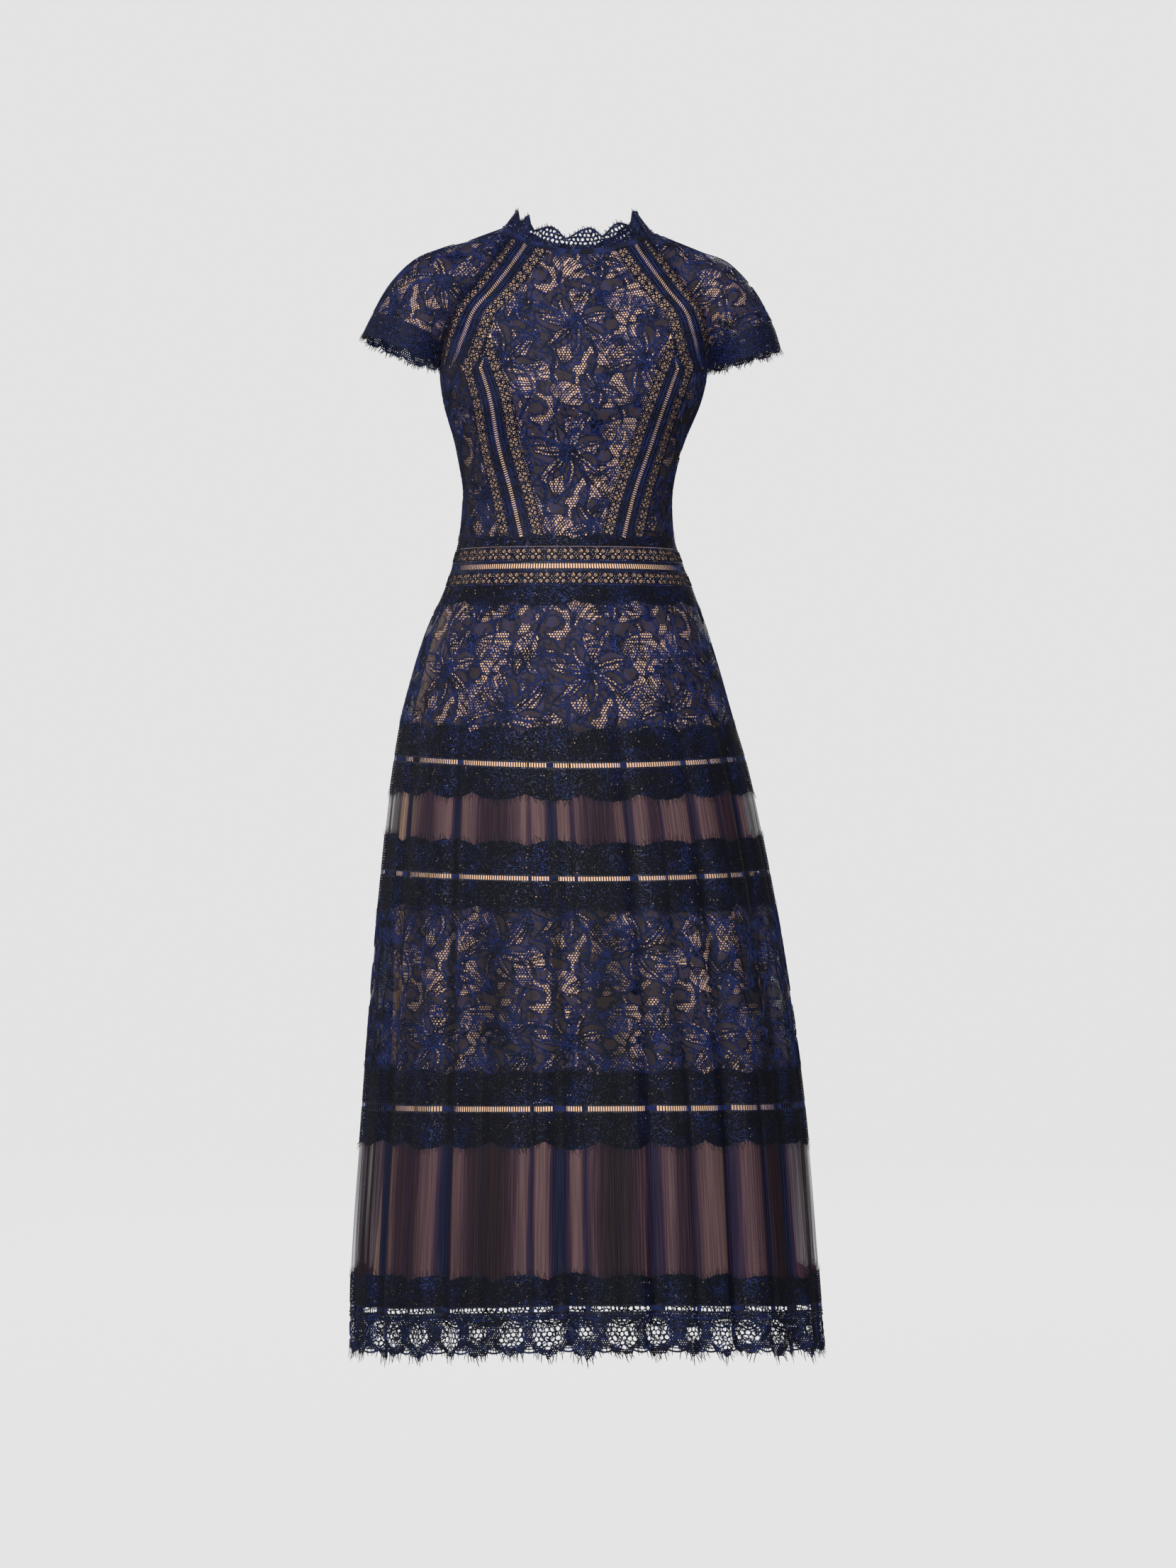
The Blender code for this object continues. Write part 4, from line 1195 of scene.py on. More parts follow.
def chiffonMaterial():
    made, tree, flat = newCloth("crinkledChiffon", 0.6, 0.12)
    sheer, lineShare, thinShare = 0.905, 0.025, 0.74
    stretched = vectors(tree, "MULTIPLY", flat, (1.25, 0.018, 1))
    fine = noise(tree, stretched, 0.42, 1.0).step(0.38, 0.62)
    broad = noise(tree, stretched, 0.05)
    doubled, shaded = attribute(tree, "doubled"), attribute(tree, "shaded")
    thin = attribute(tree, "thin")
    colour = mix(tree, fine * 0.5, shade(62, 40, 56), shade(14, 11, 22))
    # Painted shade: the chiffon turns dark brown and less sheer where it turns from the light, and
    # navy where it is folded double, partly the real depth of cloth, partly painted shade.
    colour = mix(tree, shaded * 0.9, colour, shade(22, 12, 16))
    colour = mix(tree, doubled, colour, shade(10, 14, 38))
    alpha = fine * lineShare + sheer + (broad - 0.5) * 0.08 - thin * thinShare
    alpha = alpha + fine * (thinShare * 0.5) * thin + shaded * 0.16
    alpha = maths(tree, "ADD", alpha, doubled * 0.4, clamp=True)
    return finished(made, fine + broad * 2.0, 0.0007, Base_Color=colour, Alpha=alpha)


def liningMaterial():
    made, tree, flat = newCloth("nudeLining", 0.55, 0.2)
    tone = noise(tree, flat, 0.012, 3.0)
    weave = wave(tree, flat, 0.75, 0.6)
    colour = mix(tree, tone, shade(228, 184, 148), shade(243, 204, 168))
    return finished(made, weave + tone * 4.0, 0.00025,
                    Base_Color=mix(tree, weave * 0.12, colour, shade(170, 126, 98)),
                    Roughness=weave.step(0.0, 1.0, 0.5, 0.64))


def threadMaterial(name, dark, light, roughness):
    made = newMaterial(name, roughness, 0.22)
    tree = made[1]
    place = objectPlace(tree)
    twist = wave(tree, place, 0.55, 3.0, **{"Detail Scale": 1.5})
    tone = noise(tree, place, 0.06).step(0.35, 0.65) * (twist * 0.6 + 0.4)
    return finished(made, twist, 0.0003, Base_Color=mix(tree, tone, dark, light),
                    Roughness=tone.step(0.0, 1.0, roughness + 0.1, roughness - 0.06))


def ribbonMaterial():
    made, tree, flat = newCloth("ladderRibbon", 0.5, 0.2)
    thread = useWorm(tree, flat, 0.9, 26.0)
    colour = mix(tree, thread * 0.6, shade(3, 4, 11), shade(22, 30, 66))
    colour = mix(tree, noise(tree, flat, 0.08).step(0.4, 0.7), colour, navy)
    # The colour darkens as painted shade at the skirt's folds.
    return finished(made, thread, 0.0005, Base_Color=paintFoldShade(tree, colour),
                    Roughness=thread.step(0.0, 1.0, 0.6, 0.42))


def zipTapeMaterial():
    made, tree, flat = newCloth("zipTape", 0.6, 0.2)
    rib = wave(tree, flat, 0.42, 0.2, "Y")
    return finished(made, rib, 0.0004, Roughness=rib.step(0.0, 1.0, 0.7, 0.5),
                    Base_Color=mix(tree, rib, shade(10, 13, 32), shade(28, 36, 76)))


def zipMetalMaterial():
    made = newMaterial("zipMetal", 0.34, 0.5)
    tree = made[1]
    place = objectPlace(tree)
    # Here it is wear only: rubbed spots show the bare metal.
    wearAndSheen = noise(tree, place, 0.9, 4.0, 0.6).step(0.52, 0.66)
    return finished(made, wearAndSheen, 0.00008, Metallic=wearAndSheen.step(0.0, 1.0, 0.35, 0.95),
                    Base_Color=mix(tree, wearAndSheen, shade(22, 27, 52), shade(96, 98, 112)),
                    Roughness=noise(tree, place, 0.4).step(0.3, 0.7, 0.26, 0.46))


# Florets stand this far apart along a trim and along the waistband.
trimPitch, waistPitch = 0.0128, 0.0158
finishes = {
    "floral": floralMaterial(),
    "band": bandMaterial(),
    "galloon": galloonMaterial("flowerGalloon", trimPitch * 1000),
    "waistGalloon": galloonMaterial("waistGalloon", waistPitch * 1000),
    "hem": openLace("hemLace", (5.6, 4.0, -0.65, -0.3, -0.3, 0.6), (1.0, 36.0),
                    (2.5, 0.6, 1.3, 1.9), (0.14, 0.48, 0.6), shade(5, 7, 17), 0.6, 0.98, 0.0007),
    "collarNet": openLace("collarNet", (5.6, 4.5, 0.35, 0.75, -0.2, 0.4), (0.9, 30.0),
                          (2.6, 1.0, 2.1, 2.6), (0.13, 0.5, 0.6), shade(7, 9, 22), 0.5, 1.0,
                          0.0006),
    "chiffon": chiffonMaterial(),
    "lining": liningMaterial(),
    "cord": threadMaterial("navyCord", shade(4, 6, 19), shade(27, 40, 94), 0.55),
    "flower": threadMaterial("galloonThread", shade(3, 4, 9), shade(13, 15, 30), 0.6),
    "lash": threadMaterial("lashThread", shade(5, 6, 14), shade(16, 20, 42), 0.65),
    "ribbon": ribbonMaterial(),
    "zipTape": zipTapeMaterial(),
    "zipMetal": zipMetalMaterial(),
}
print("materials made:", len(finishes))


# Dressing the pieces
def wear(piece, slot, *nodes):
    piece.visible_shadow = slot in ("nude_lining", "zip_tape")
    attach(piece, "garment")
    if nodes:
        piece.name = nodes[0] + "_cloth"
        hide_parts(*nodes)
    return piece


def cut(piece, width, length, trims=()):
    """Works out a sheet's flat cut, with its own area where it isn't a rectangle, but does
    nothing with them.
    """
    width, length = round(max(width, 0.01), 3), round(max(length, 0.01), 3)
    whole = width * length
    area = min(max(faceArea(piece), 0.31 * whole), whole)


def scallops(amount, width, seed, ragged=0.0004, square=0.55):
    """A scalloped edge, as a distance past the plain edge at each u."""
    def edge(u):
        k = np.floor(u / width)
        lively = 0.62 + 0.38 * np.abs(np.sin(k * 12.9898 + seed) * 43758.5453 % 1.0)
        bump = np.sin(math.pi * (u / width - k)) ** square
        return amount * lively * bump + ragged * (np.sin(u / 0.0011) + np.sin(u / 0.0023 + seed))
    return edge


def negative(edge):
    return lambda u: -edge(u)


def sidesOf(low, high):
    return (lambda v: low + 0 * v, lambda v: high + 0 * v)


def lashes(patch, edge, uRange, way, spacing, size, seed, lift=0.0006):
    """Eyelash hairs along the edge v = edge(u), pointing down for way 1 and up for -1."""
    rng = np.random.default_rng(seed)
    u = np.arange(uRange[0], uRange[1], spacing)
    u = u + rng.uniform(-0.4, 0.4, len(u)) * spacing
    tilt = rng.normal(0, 0.30, len(u))
    length = size * rng.uniform(0.45, 1.15, len(u))
    v = edge(u) - way * 0.0012
    spots = clothSpots(patch, u, v, np.sin(tilt), way * np.cos(tilt), (1, 1, 1), lift)
    stretch = np.column_stack([length, np.full(len(u), 1.7), np.full(len(u), 3.0)])
    return [spots[0], spots[1], spots[2], stretch]


bar, lash, blossom = barShape(), lashShape(), flowerShape()
skirt, front, back = skirtPatch(), bodyPatch(False), bodyPatch(True)
slipForm = slipPatch()
sleeves = {"left": sleevePatch(1), "right": sleevePatch(-1)}
print("forms made")


def skirtSides(strip, top):
    """u at the two edges behind: apart at the zip, together below it."""
    gap = dress["zipHalfWidth"] + 0.0004
    half = strip["length"] / 2

    def parted(v):
        return np.where(v <= dress["zipEnd"], gap, 0.00015)
    if top < dress["zipEnd"]:
        return (lambda v: -half + parted(v)), (lambda v: half - parted(v))
    return sidesOf(-half, half)


# The ladders round the dress: sizes in metres, and the angles where their bars are sparse.
waist = {"barPitch": 0.0026, "ribbon": 0.0024, "skirtRibbon": 0.0019, "ribbonLap": 0.0004,
         "sideAngle": 91, "clearSide": 14, "bareBelow": 1.1, "foldedOver": 0.5}

# The waistband and skirt, from the top down, with how far each dark band's scallops and
# hairs reach past its upper and lower edge.
strips = (
    ("waist_edging_upper", "band", 0.3298, 0.3383, 0.0050, 0.0),
    ("waist_galloon_upper", "galloon", 0.3383, 0.3546, 0, 0),
    ("waist_ladder", "ladder", 0.3546, 0.3645, 0, 0),
    ("waist_galloon_lower", "galloon", 0.3645, 0.3803, 0, 0),
    ("waist_edging_lower", "band", 0.3803, 0.3956, 0.0, 0.0080),
    ("skirt_lace_tier_1", "floral", 0.3956, 0.5343, 0, 0),
    ("skirt_edging_1_upper", "band", 0.5343, 0.5618, 0.0100, 0.0),
    ("skirt_ladder_1", "ladder", 0.5618, 0.5703, 0, 0),
    ("skirt_edging_1_lower", "band", 0.5703, 0.5955, 0.0, 0.0120),
    ("skirt_chiffon_tier_1", "chiffon", 0.5955, 0.6558, 0, 0),
    ("skirt_edging_2_upper", "band", 0.6558, 0.6856, 0.0090, 0.0),
    ("skirt_ladder_2", "ladder", 0.6856, 0.6941, 0, 0),
    ("skirt_edging_2_lower", "band", 0.6941, 0.7198, 0.0, 0.0100),
    ("skirt_lace_tier_2", "floral", 0.7198, 0.9073, 0, 0),
    ("skirt_edging_3_upper", "band", 0.9073, 0.9383, 0.0100, 0.0),
    ("skirt_ladder_3", "ladder", 0.9383, 0.9476, 0, 0),
    ("skirt_edging_3_lower", "band", 0.9476, 0.9767, 0.0, 0.0120),
    ("skirt_chiffon_tier_2", "chiffon", 0.9767, 1.1321, 0, 0),
    ("skirt_edging_4_upper", "band", 1.1321, 1.1573, 0.0100, 0.0),
    ("skirt_ladder_4", "ladder", 1.1573, 1.1663, 0, 0),
    ("skirt_hem_lace", "hem", 1.1663, 1.2010, 0, 0.0125),
)
slots = {"band": "eyelash_lace", "galloon": "flower_galloon", "ladder": "ladder_insertion",
         "floral": "floral_lace", "chiffon": "chiffon", "hem": "eyelash_lace"}


# Where the skirt turns away from the light between its folds.
shadows = table(
    ("angle", "halfAngle", "shade"),
    (-74, 4, 0.50), (-54, 5, 0.40), (-28, 6, 0.60), (4, 5, 0.62), (22, 3, 0.40), (51, 5, 0.55),
    (70, 4, 0.50), (105, 6, 0.45), (137, 5, 0.50), (152, 5, 0.35), (-111, 5, 0.50),
    (-146, 6, 0.35), (-178, 5, 0.30),
)


def foldDoublingAndShade(patch, u, v):
    """How far the cloth is folded double at its folds and creases, where the materials also
    darken it as painted shade, how far it turns from the light between them, which is also
    painted as shade, and how far the gathers thin out towards the skirt's sides."""
    angle = np.degrees(u / patch["half"][0] * math.pi)
    grown = np.clip((v - 0.42) / 0.2, 0, 1)
    broader = 0.6 + 0.4 * np.clip((v - 0.6) / 0.5, 0, 1)

    def near(rows, narrow, power):
        total = 0.0
        for at, half, share in zip(rows["angle"], rows["halfAngle"], rows["shade"]):
            off = np.abs((angle - at + 180) % 360 - 180) / (half * narrow)
            total = total + share * grown / (1 + off**power)
        return total
    doubled = near(folds, 0.40 * broader, 8) + near(creases, 0.36 * broader, 8)
    shaded = near(shadows, 1.0, 4) * (1.25 + 0.55 * np.clip((v - 0.60) / 0.25, 0, 1))
    thin = np.exp(-(((np.abs(angle) - 90) / 23) ** 4))
    return {"doubled": np.clip(doubled * 1.3, 0, 1), "shaded": np.clip(shaded, 0, 1), "thin": thin}


# The hem lace's ring motifs stand side by side, one to each scallop.
hemLace = {"width": 0.0405, "ring": 1.1865, "outer": 0.0075, "inner": 0.0035, "top": 1.1663,
           "bottom": 1.201}


def hemWidth(strip):
    return strip["length"] / round(strip["length"] / hemLace["width"])


def hemOpenness(patch, u, v):
    """Above zero where the hem lace is open net: between its edges and about each ring."""
    width = hemWidth(patch)
    k, number = (u / width) % 1.0, np.floor(u / width)
    reach = 14.5 + 4.5 * np.sin(number * 2.3 + 0.7)
    centre = np.hypot((k - 0.5) * width, v - hemLace["ring"]) * 1000
    ragged = 1.5 * np.sin(u / 0.0021) * np.sin(v / 0.0017 + number)
    ring = np.minimum(np.abs(centre - 7.5) - 1.2, reach - centre + ragged)
    lower = (hemLace["bottom"] + 0.012 * np.sin(math.pi * k) ** 1.1 - v) * 1000 - 3.5
    upper = (v - hemLace["top"]) * 1000 - 5.5
    behind = np.abs(u) > patch["length"] * 0.27
    ring = np.where(behind, 3.0, ring)
    opened = np.minimum(np.minimum(lower, upper) + behind * 3.0, ring)
    return {"open": opened, **foldDoublingAndShade(patch, u, v)}


def makeHemCords(strip):
    """Ring motifs and scallop lines on the hem lace."""
    width, ring = hemWidth(strip), hemLace["ring"]
    half = strip["length"] / 2
    cords = []

    def circling(k, radius, turns, thick):
        path = [k + radius * np.cos(turns), ring + radius * np.sin(turns)]
        cords.append((np.column_stack(path), thick))
    arc = np.linspace(-0.48, 0.48, 15)
    for k in np.arange(-half + width / 2, half, width):
        for radius, thick in ((hemLace["outer"], 0.0008), (hemLace["inner"], 0.0006)):
            circling(k, radius, np.linspace(0, 2 * math.pi, 21), thick)
        for turn in np.linspace(0, 2 * math.pi, 9)[:-1]:
            circling(k, np.linspace(hemLace["inner"], hemLace["outer"], 3), turn, 0.0004)
        for inset, thick in ((0.0022, 0.0009), (0.0060, 0.0006)):
            edge = hemLace["bottom"] + 0.0085 * np.sin(math.pi * (arc + 0.5)) ** 1.1 - inset
            cords.append((np.column_stack([k + arc * width, edge]), thick))
    flat = np.linspace(-half, half, 600)
    for v in (1.1685, 1.1722):
        cords.append((np.column_stack([flat, v + 0.0006 * np.sin(flat / 0.0021)]), 0.0007))
    return cordObject("skirt_hem_cords", strip, cords, finishes["cord"])


class Strip:
    """One strip of cloth round the waist or the skirt."""
    def __init__(self, name, kind, top, bottom, up, down):
        self.name, self.kind, self.up, self.down = name, kind, up, down
        self.span, self.mid = (top, bottom), (top + bottom) / 2
        self.patch = stripPatch(skirt, top, bottom)
        self.sides = skirtSides(self.patch, top)
        self.ends = tuple(float(side(top + 0.001)) for side in self.sides)
        self.reach = self.patch["length"]
        self.closed = top >= dress["zipEnd"]

    def sheet(self, step, finish, lift=0.0, name=None, span=None, edges=(None, None), **more):
        return makeSheet(name or self.name, self.patch, span or self.span, self.sides, step,
                         finishes[finish], lift, edges, self.closed, **more)

    def copies(self, part, shape, spots, finish):
        return scatter(f"{self.name}_{part}", shape, spots, finishes[finish])

    def cords(self, runs, inside=None):
        return cordObject(f"{self.name}_cords", self.patch, runs, finishes["cord"], inside)


def ringBars(strip):
    """Spots for the bars of a ladder."""
    low, high = (float(side(strip.mid)) for side in strip.sides)
    count = int((high - low) / waist["barPitch"])

    def shared(parts):
        return low + (np.arange(parts) + 0.5) * (high - low) / parts
    u = shared(count)
    if strip.closed:
        # The bars stand further apart where the skirt turns at its sides and below the slip.
        off = np.abs(np.abs(u) / strip.patch["half"][0] * 180 - waist["sideAngle"])
        close = (off > waist["clearSide"]) & (strip.span[0] < waist["bareBelow"])
        u = u[close | (np.arange(count) % 3 == 0)]
        # Where a fold doubles the cloth, its bars close the slit.
        fine = shared(3 * count)
        doubled = foldDoublingAndShade(strip.patch, fine, strip.mid + 0 * fine)["doubled"]
        u = np.concatenate([u, fine[doubled > waist["foldedOver"]]])
    long = strip.span[1] - strip.span[0] - 2 * waist["ribbonLap"]
    return clothSpots(strip.patch, u, strip.mid + 0 * u, 0 * u, 1 + 0 * u, (long, 1, 1))


def ladderStrip(strip):
    (top, bottom), lap = strip.span, waist["ribbonLap"]
    tape = waist["ribbon"] if strip.name.startswith("waist") else waist["skirtRibbon"]
    pieces = [strip.sheet(0.003, "ribbon", 0.0005, f"{strip.name}_{k}", span, field=foldDoublingAndShade)
              for k, span in enumerate(((top - lap, top + tape), (bottom - tape, bottom + lap)))]
    bars = strip.copies("bars", bar, ringBars(strip), "cord")
    return joinPieces(strip.name, pieces), [bars]


def floralStrip(strip):
    """A tier of figured lace, with whole repeats round it."""
    (low, high), (top, bottom) = strip.ends, strip.span
    around = strip.reach * 1000
    scaleX = around / (laceWide * round(around / laceWide))
    isUpper = strip.name.endswith("1")
    offset, step = ((20.0, 12.0), 0.0018) if isUpper else ((60.0, 50.0), 0.0021)
    values = laceValues(scaleX, offset)
    piece = strip.sheet(step, "floral", field=lambda patch, u, v: {
        **values(patch, u, v), **foldDoublingAndShade(patch, u, v)})
    return piece, [strip.cords(
        laceRuns(scaleX, offset, strip.ends, strip.span),
        lambda u, v: (u >= low) & (u <= high) & (v > top) & (v < bottom))]


def chiffonStrip(strip):
    return strip.sheet(0.0028, "chiffon", field=foldDoublingAndShade), []


def galloonStrip(strip):
    (low, high), (top, bottom), mid = strip.ends, strip.span, strip.mid
    piece = strip.sheet(0.004, "waistGalloon",
                        layout=lambda u, v, _: np.stack([u - low, mid - v], -1))
    u = low + (np.arange(int((high - low) / waistPitch)) + 0.5) * waistPitch
    spots = clothSpots(strip.patch, u, mid + 0 * u, 1 + 0 * u, 0 * u, (waistPitch,) * 3, 0.0003)
    flowers = strip.copies("flowers", blossom, spots, "flower")
    edges = [(np.column_stack([np.linspace(low, high, 400), np.full(400, v)]), 0.0007)
             for v in (top + 0.0008, bottom - 0.0008)]
    return piece, [flowers, strip.cords(edges)]


# Each edging's scallop width, raggedness and roundness, its lift, and its lower hairs' length.
edgings = {
    "band": (0.058, 0.0005, 0.55, 0.0007, 0.0095),
    "hem": (hemLace["width"], 0.0013, 1.1, 0.0, 0.0105),
}


def edgedStrip(strip):
    """A dark band or the hem lace, with scallops and hairs past its edges."""
    wide, ragged, square, lift, hair = edgings[strip.kind]
    (top, bottom), seed = strip.span, len(strip.name)
    width = strip.reach / round(strip.reach / wide)
    upper = lower = None
    if strip.up:
        upper = negative(scallops(strip.up, width, seed, 0.0005))
    if strip.down:
        lower = scallops(strip.down, width, seed + top, ragged, square)
    piece = strip.sheet(0.0026, strip.kind, lift, edges=(upper, lower),
                        field=hemOpenness if strip.kind == "hem" else foldDoublingAndShade)
    hairs = []
    if upper:
        hairs.append(lashes(strip.patch, lambda u: top + upper(u), strip.ends, -1, 0.0026,
                            0.0090, seed, 0.0009))
    if lower:
        hairs.append(lashes(strip.patch, lambda u: bottom + lower(u), strip.ends, 1, 0.0024,
                            hair, seed + 1, 0.0009))
    trims = [strip.copies("lashes", lash, mergeSpots(*hairs), "lash")]
    if strip.kind == "hem":
        trims.append(makeHemCords(strip.patch))
    return piece, trims


makers = {"ladder": ladderStrip, "floral": floralStrip, "chiffon": chiffonStrip,
          "galloon": galloonStrip, "band": edgedStrip, "hem": edgedStrip}


def makeStrips():
    for row in strips:
        strip = Strip(*row)
        name, slot = strip.name, slots[strip.kind]
        piece, trims = makers[strip.kind](strip)
        trims = [wear(trim, slot) for trim in trims]
        wear(piece, slot, name)
        cut(piece, strip.reach, strip.span[1] - strip.span[0], trims)
        print("strip", name, len(piece.data.polygons))


def princessEdge(level, outward):
    row = halfRow(level, False)
    at = np.interp(along(princess, "x", -row[24][2]), row[:, 0], lengths(row))
    return at + outward * 1.05


def rowLength(level, isBack=False):
    return lengths(halfRow(level, isBack))[-1]


def raglanEdge(level, inward):
    return rowLength(level) - inward * slant(min(level, 1.0))


trimWidth = 2 * dress["galloon"] + dress["ladder"]


def openEdge(level, outward):
    """A princess line, stopped where the raglan trim crosses it."""
    if level > 1:
        return princessEdge(level, outward)
    return min(princessEdge(level, outward), raglanEdge(level, trimWidth + 0.0003))


def firstLevel(inward, outward):
    for level in np.arange(0.5, 1.2, 0.01):
        if openEdge(level, outward) - openEdge(level, inward) > 0.003:
            return float(level)
    return 1.2


def sided(low, high, side):
    """The two edges of a panel on one side, from low to high u."""
    return (low, high) if side > 0 else (negative(high), negative(low))


def lacePanel(name, patch, span, sides, offset, fineness=0.0022, turned=None):
    """A piece of the figured lace. "turned" is from where to where u darkens towards a side,
    as painted shade where the panel turns from the light.
    """
    def field(p, u, v):
        values = laceValues(1.0, offset)(p, u, v)
        if turned:
            share = (np.abs(u) - turned[0]) / (turned[1] - turned[0])
            # Painted shade towards the panel's side, where it turns from the light.
            values["shaded"] = 0.75 * np.clip(share, 0, 1)
        return values
    piece = makeSheet(name, patch, span, sides, fineness, finishes["floral"], field=field)
    wide = max(float(np.max(np.abs(sides[k](np.linspace(*span, 9))))) for k in (0, 1))
    runs = laceRuns(1.0, offset, (-wide, wide), span)

    def inside(u, v):
        return (u > sides[0](v)) & (u < sides[1](v)) & (v > span[0]) & (v < span[1])
    cords = wear(cordObject(f"{name}_cords", patch, runs, finishes["cord"], inside), "floral_lace")
    wear(piece, "floral_lace", name)
    cut(piece, piece["length"], piece["height"], [cords])
    print("panel", name, len(piece.data.polygons))
    return piece


def seamLine(patch, span, sides):
    """A seam's middle line: its v, its u, how u grows with v, and the length run so far."""
    v = np.linspace(span[0], span[1], 200)
    centre = (sides[0](v) + sides[1](v)) / 2
    points, _ = patchAt(patch, centre, v)
    return v, centre, np.gradient(centre, v), lengths(points)


def ladderTrim(patch, name, span, sides):
    """The ladder along a raglan or princess seam of the front."""
    v, _, slope, run = seamLine(patch, span, sides)

    def at(share):
        return lambda w: sides[0](w) + (sides[1](w) - sides[0](w)) * share
    pieces = [makeSheet(f"{name}_{k}", patch, span, (at(a), at(b)), 0.0035, finishes["ribbon"],
                        0.0006)
              for k, (a, b) in enumerate(((-0.03, 0.408), (0.592, 1.03)))]
    lines = [(np.column_stack([at(share)(v), v])[::2], 0.0006)
             for share in (0.02, 0.20, 0.37, 0.63, 0.80, 0.98)]
    cords = cordObject(f"{name}_cords", patch, lines, finishes["cord"], rise=0.0008, lift=0.0006)
    pitch = 0.0024
    count = int((run[-1] - 0.004) / pitch)
    places = np.interp(0.003 + np.arange(count) * pitch, run, v)
    spots = clothSpots(patch, at(0.5)(places), places, np.ones(count),
                       -np.interp(places, v, slope), (0.0072, 1.3, 1))
    bars = scatter(f"{name}_bars", bar, spots, finishes["cord"])
    piece = joinPieces(name, pieces)
    trims = [wear(trim, "ladder_insertion") for trim in (cords, bars)]
    wear(piece, "ladder_insertion", name)
    cut(piece, run[-1], dress["ladder"], trims)


def galloonTrim(patch, name, span, sides, isInner):
    """A galloon, which laps over the ladder's ribbon so that it shows as a narrow band."""
    v, centre, slope, run = seamLine(patch, span, sides)
    laps = (0.0010, 0.0036) if isInner else (0.0036, 0.0010)
    way = float(np.sign(slope[100]))

    def layout(u, w, _):
        off = u - np.interp(w, v, centre)
        cosine = 1 / np.sqrt(1 + np.interp(w, v, slope) ** 2)
        return np.stack([np.interp(w, v, run) + off * np.sqrt(1 - cosine**2) * way, off * cosine],
                        -1)
    lapped = (lambda w: sides[0](w) - laps[0], lambda w: sides[1](w) + laps[1])
    piece = makeSheet(name, patch, span, lapped, 0.0035, finishes["galloon"], 0.0008,
                      layout=layout)
    count = max(int(run[-1] / trimPitch), 1)
    places = np.interp((np.arange(count) + 0.5) * trimPitch, run, v)
    spots = clothSpots(patch, np.interp(places, v, centre), places, np.interp(places, v, slope),
                       np.ones(count), (trimPitch,) * 3, 0.0010)
    wear(piece, "flower_galloon", name)
    flowers = scatter(f"{name}_flowers", blossom, spots, finishes["flower"])
    cut(piece, run[-1], dress["galloon"],
        [wear(flowers, "flower_galloon")])


def trimStrip(part, name, span, low, high, side):
    """One strip of the front's trim: the ladder, or the galloon on either hand of it."""
    sides = sided(low, high, side)
    if part == "ladder":
        ladderTrim(front, name, span, sides)
    else:
        galloonTrim(front, name, span, sides, (part == "galloon_inner") == (side > 0))


def makeBodice():
    seamGap, galloon, ladder = dress["seamGap"], dress["galloon"], dress["ladder"]
    half, reach = trimWidth / 2, galloon + ladder / 2
    top, end = levelV(front, 0.0), levelV(front, 2.0)

    def limitOf(level):
        limit = princessEdge(level, -reach - seamGap)
        return min(limit, raglanEdge(level, trimWidth + seamGap)) if level <= 1 else limit
    limit = levelValues(front, limitOf)
    lacePanel("bodice_front_center", front, (top, end), (negative(limit), limit),
              (42.0, 104.0))
    near = levelValues(front, lambda level: princessEdge(level, reach))
    far = levelValues(front, rowLength)
    parts = (("galloon_inner", 0.0, galloon), ("ladder", galloon, galloon + ladder),
             ("galloon_outer", galloon + ladder, trimWidth))
    for side, name in ((-1, "right"), (1, "left")):
        # The side panel's top runs on under the raglan trim.
        lacePanel(f"bodice_front_side_{name}", front, (levelV(front, 0.985), end),
                  sided(near, far, side), (10.0 + 30 * side, 60.0),
                  0.003, (0.07, 0.15))
        for part, first, last in parts:
            low, high = (levelValues(front, lambda level: raglanEdge(level, trimWidth - at))
                         for at in (first, last))
            trimStrip(part, f"raglan_{part}_{name}", (top, levelV(front, 1.0)), low, high, side)
            low, high = (levelValues(front, lambda level: openEdge(level, at - half))
                         for at in (first, last))
            start = levelV(front, firstLevel(first - half, last - half))
            trimStrip(part, f"princess_{part}_{name}", (start, end), low, high, side)
        low = levelValues(back, lambda level: dress["zipHalfWidth"] + seamGap)
        high = levelValues(back, lambda level: rowLength(level, True))
        lacePanel(f"bodice_back_{name}", back, (0.0, levelV(back, 2.0)), sided(low, high, side),
                  (25.0 + 60 * side, 30.0), 0.0026)
    print("bodice made")


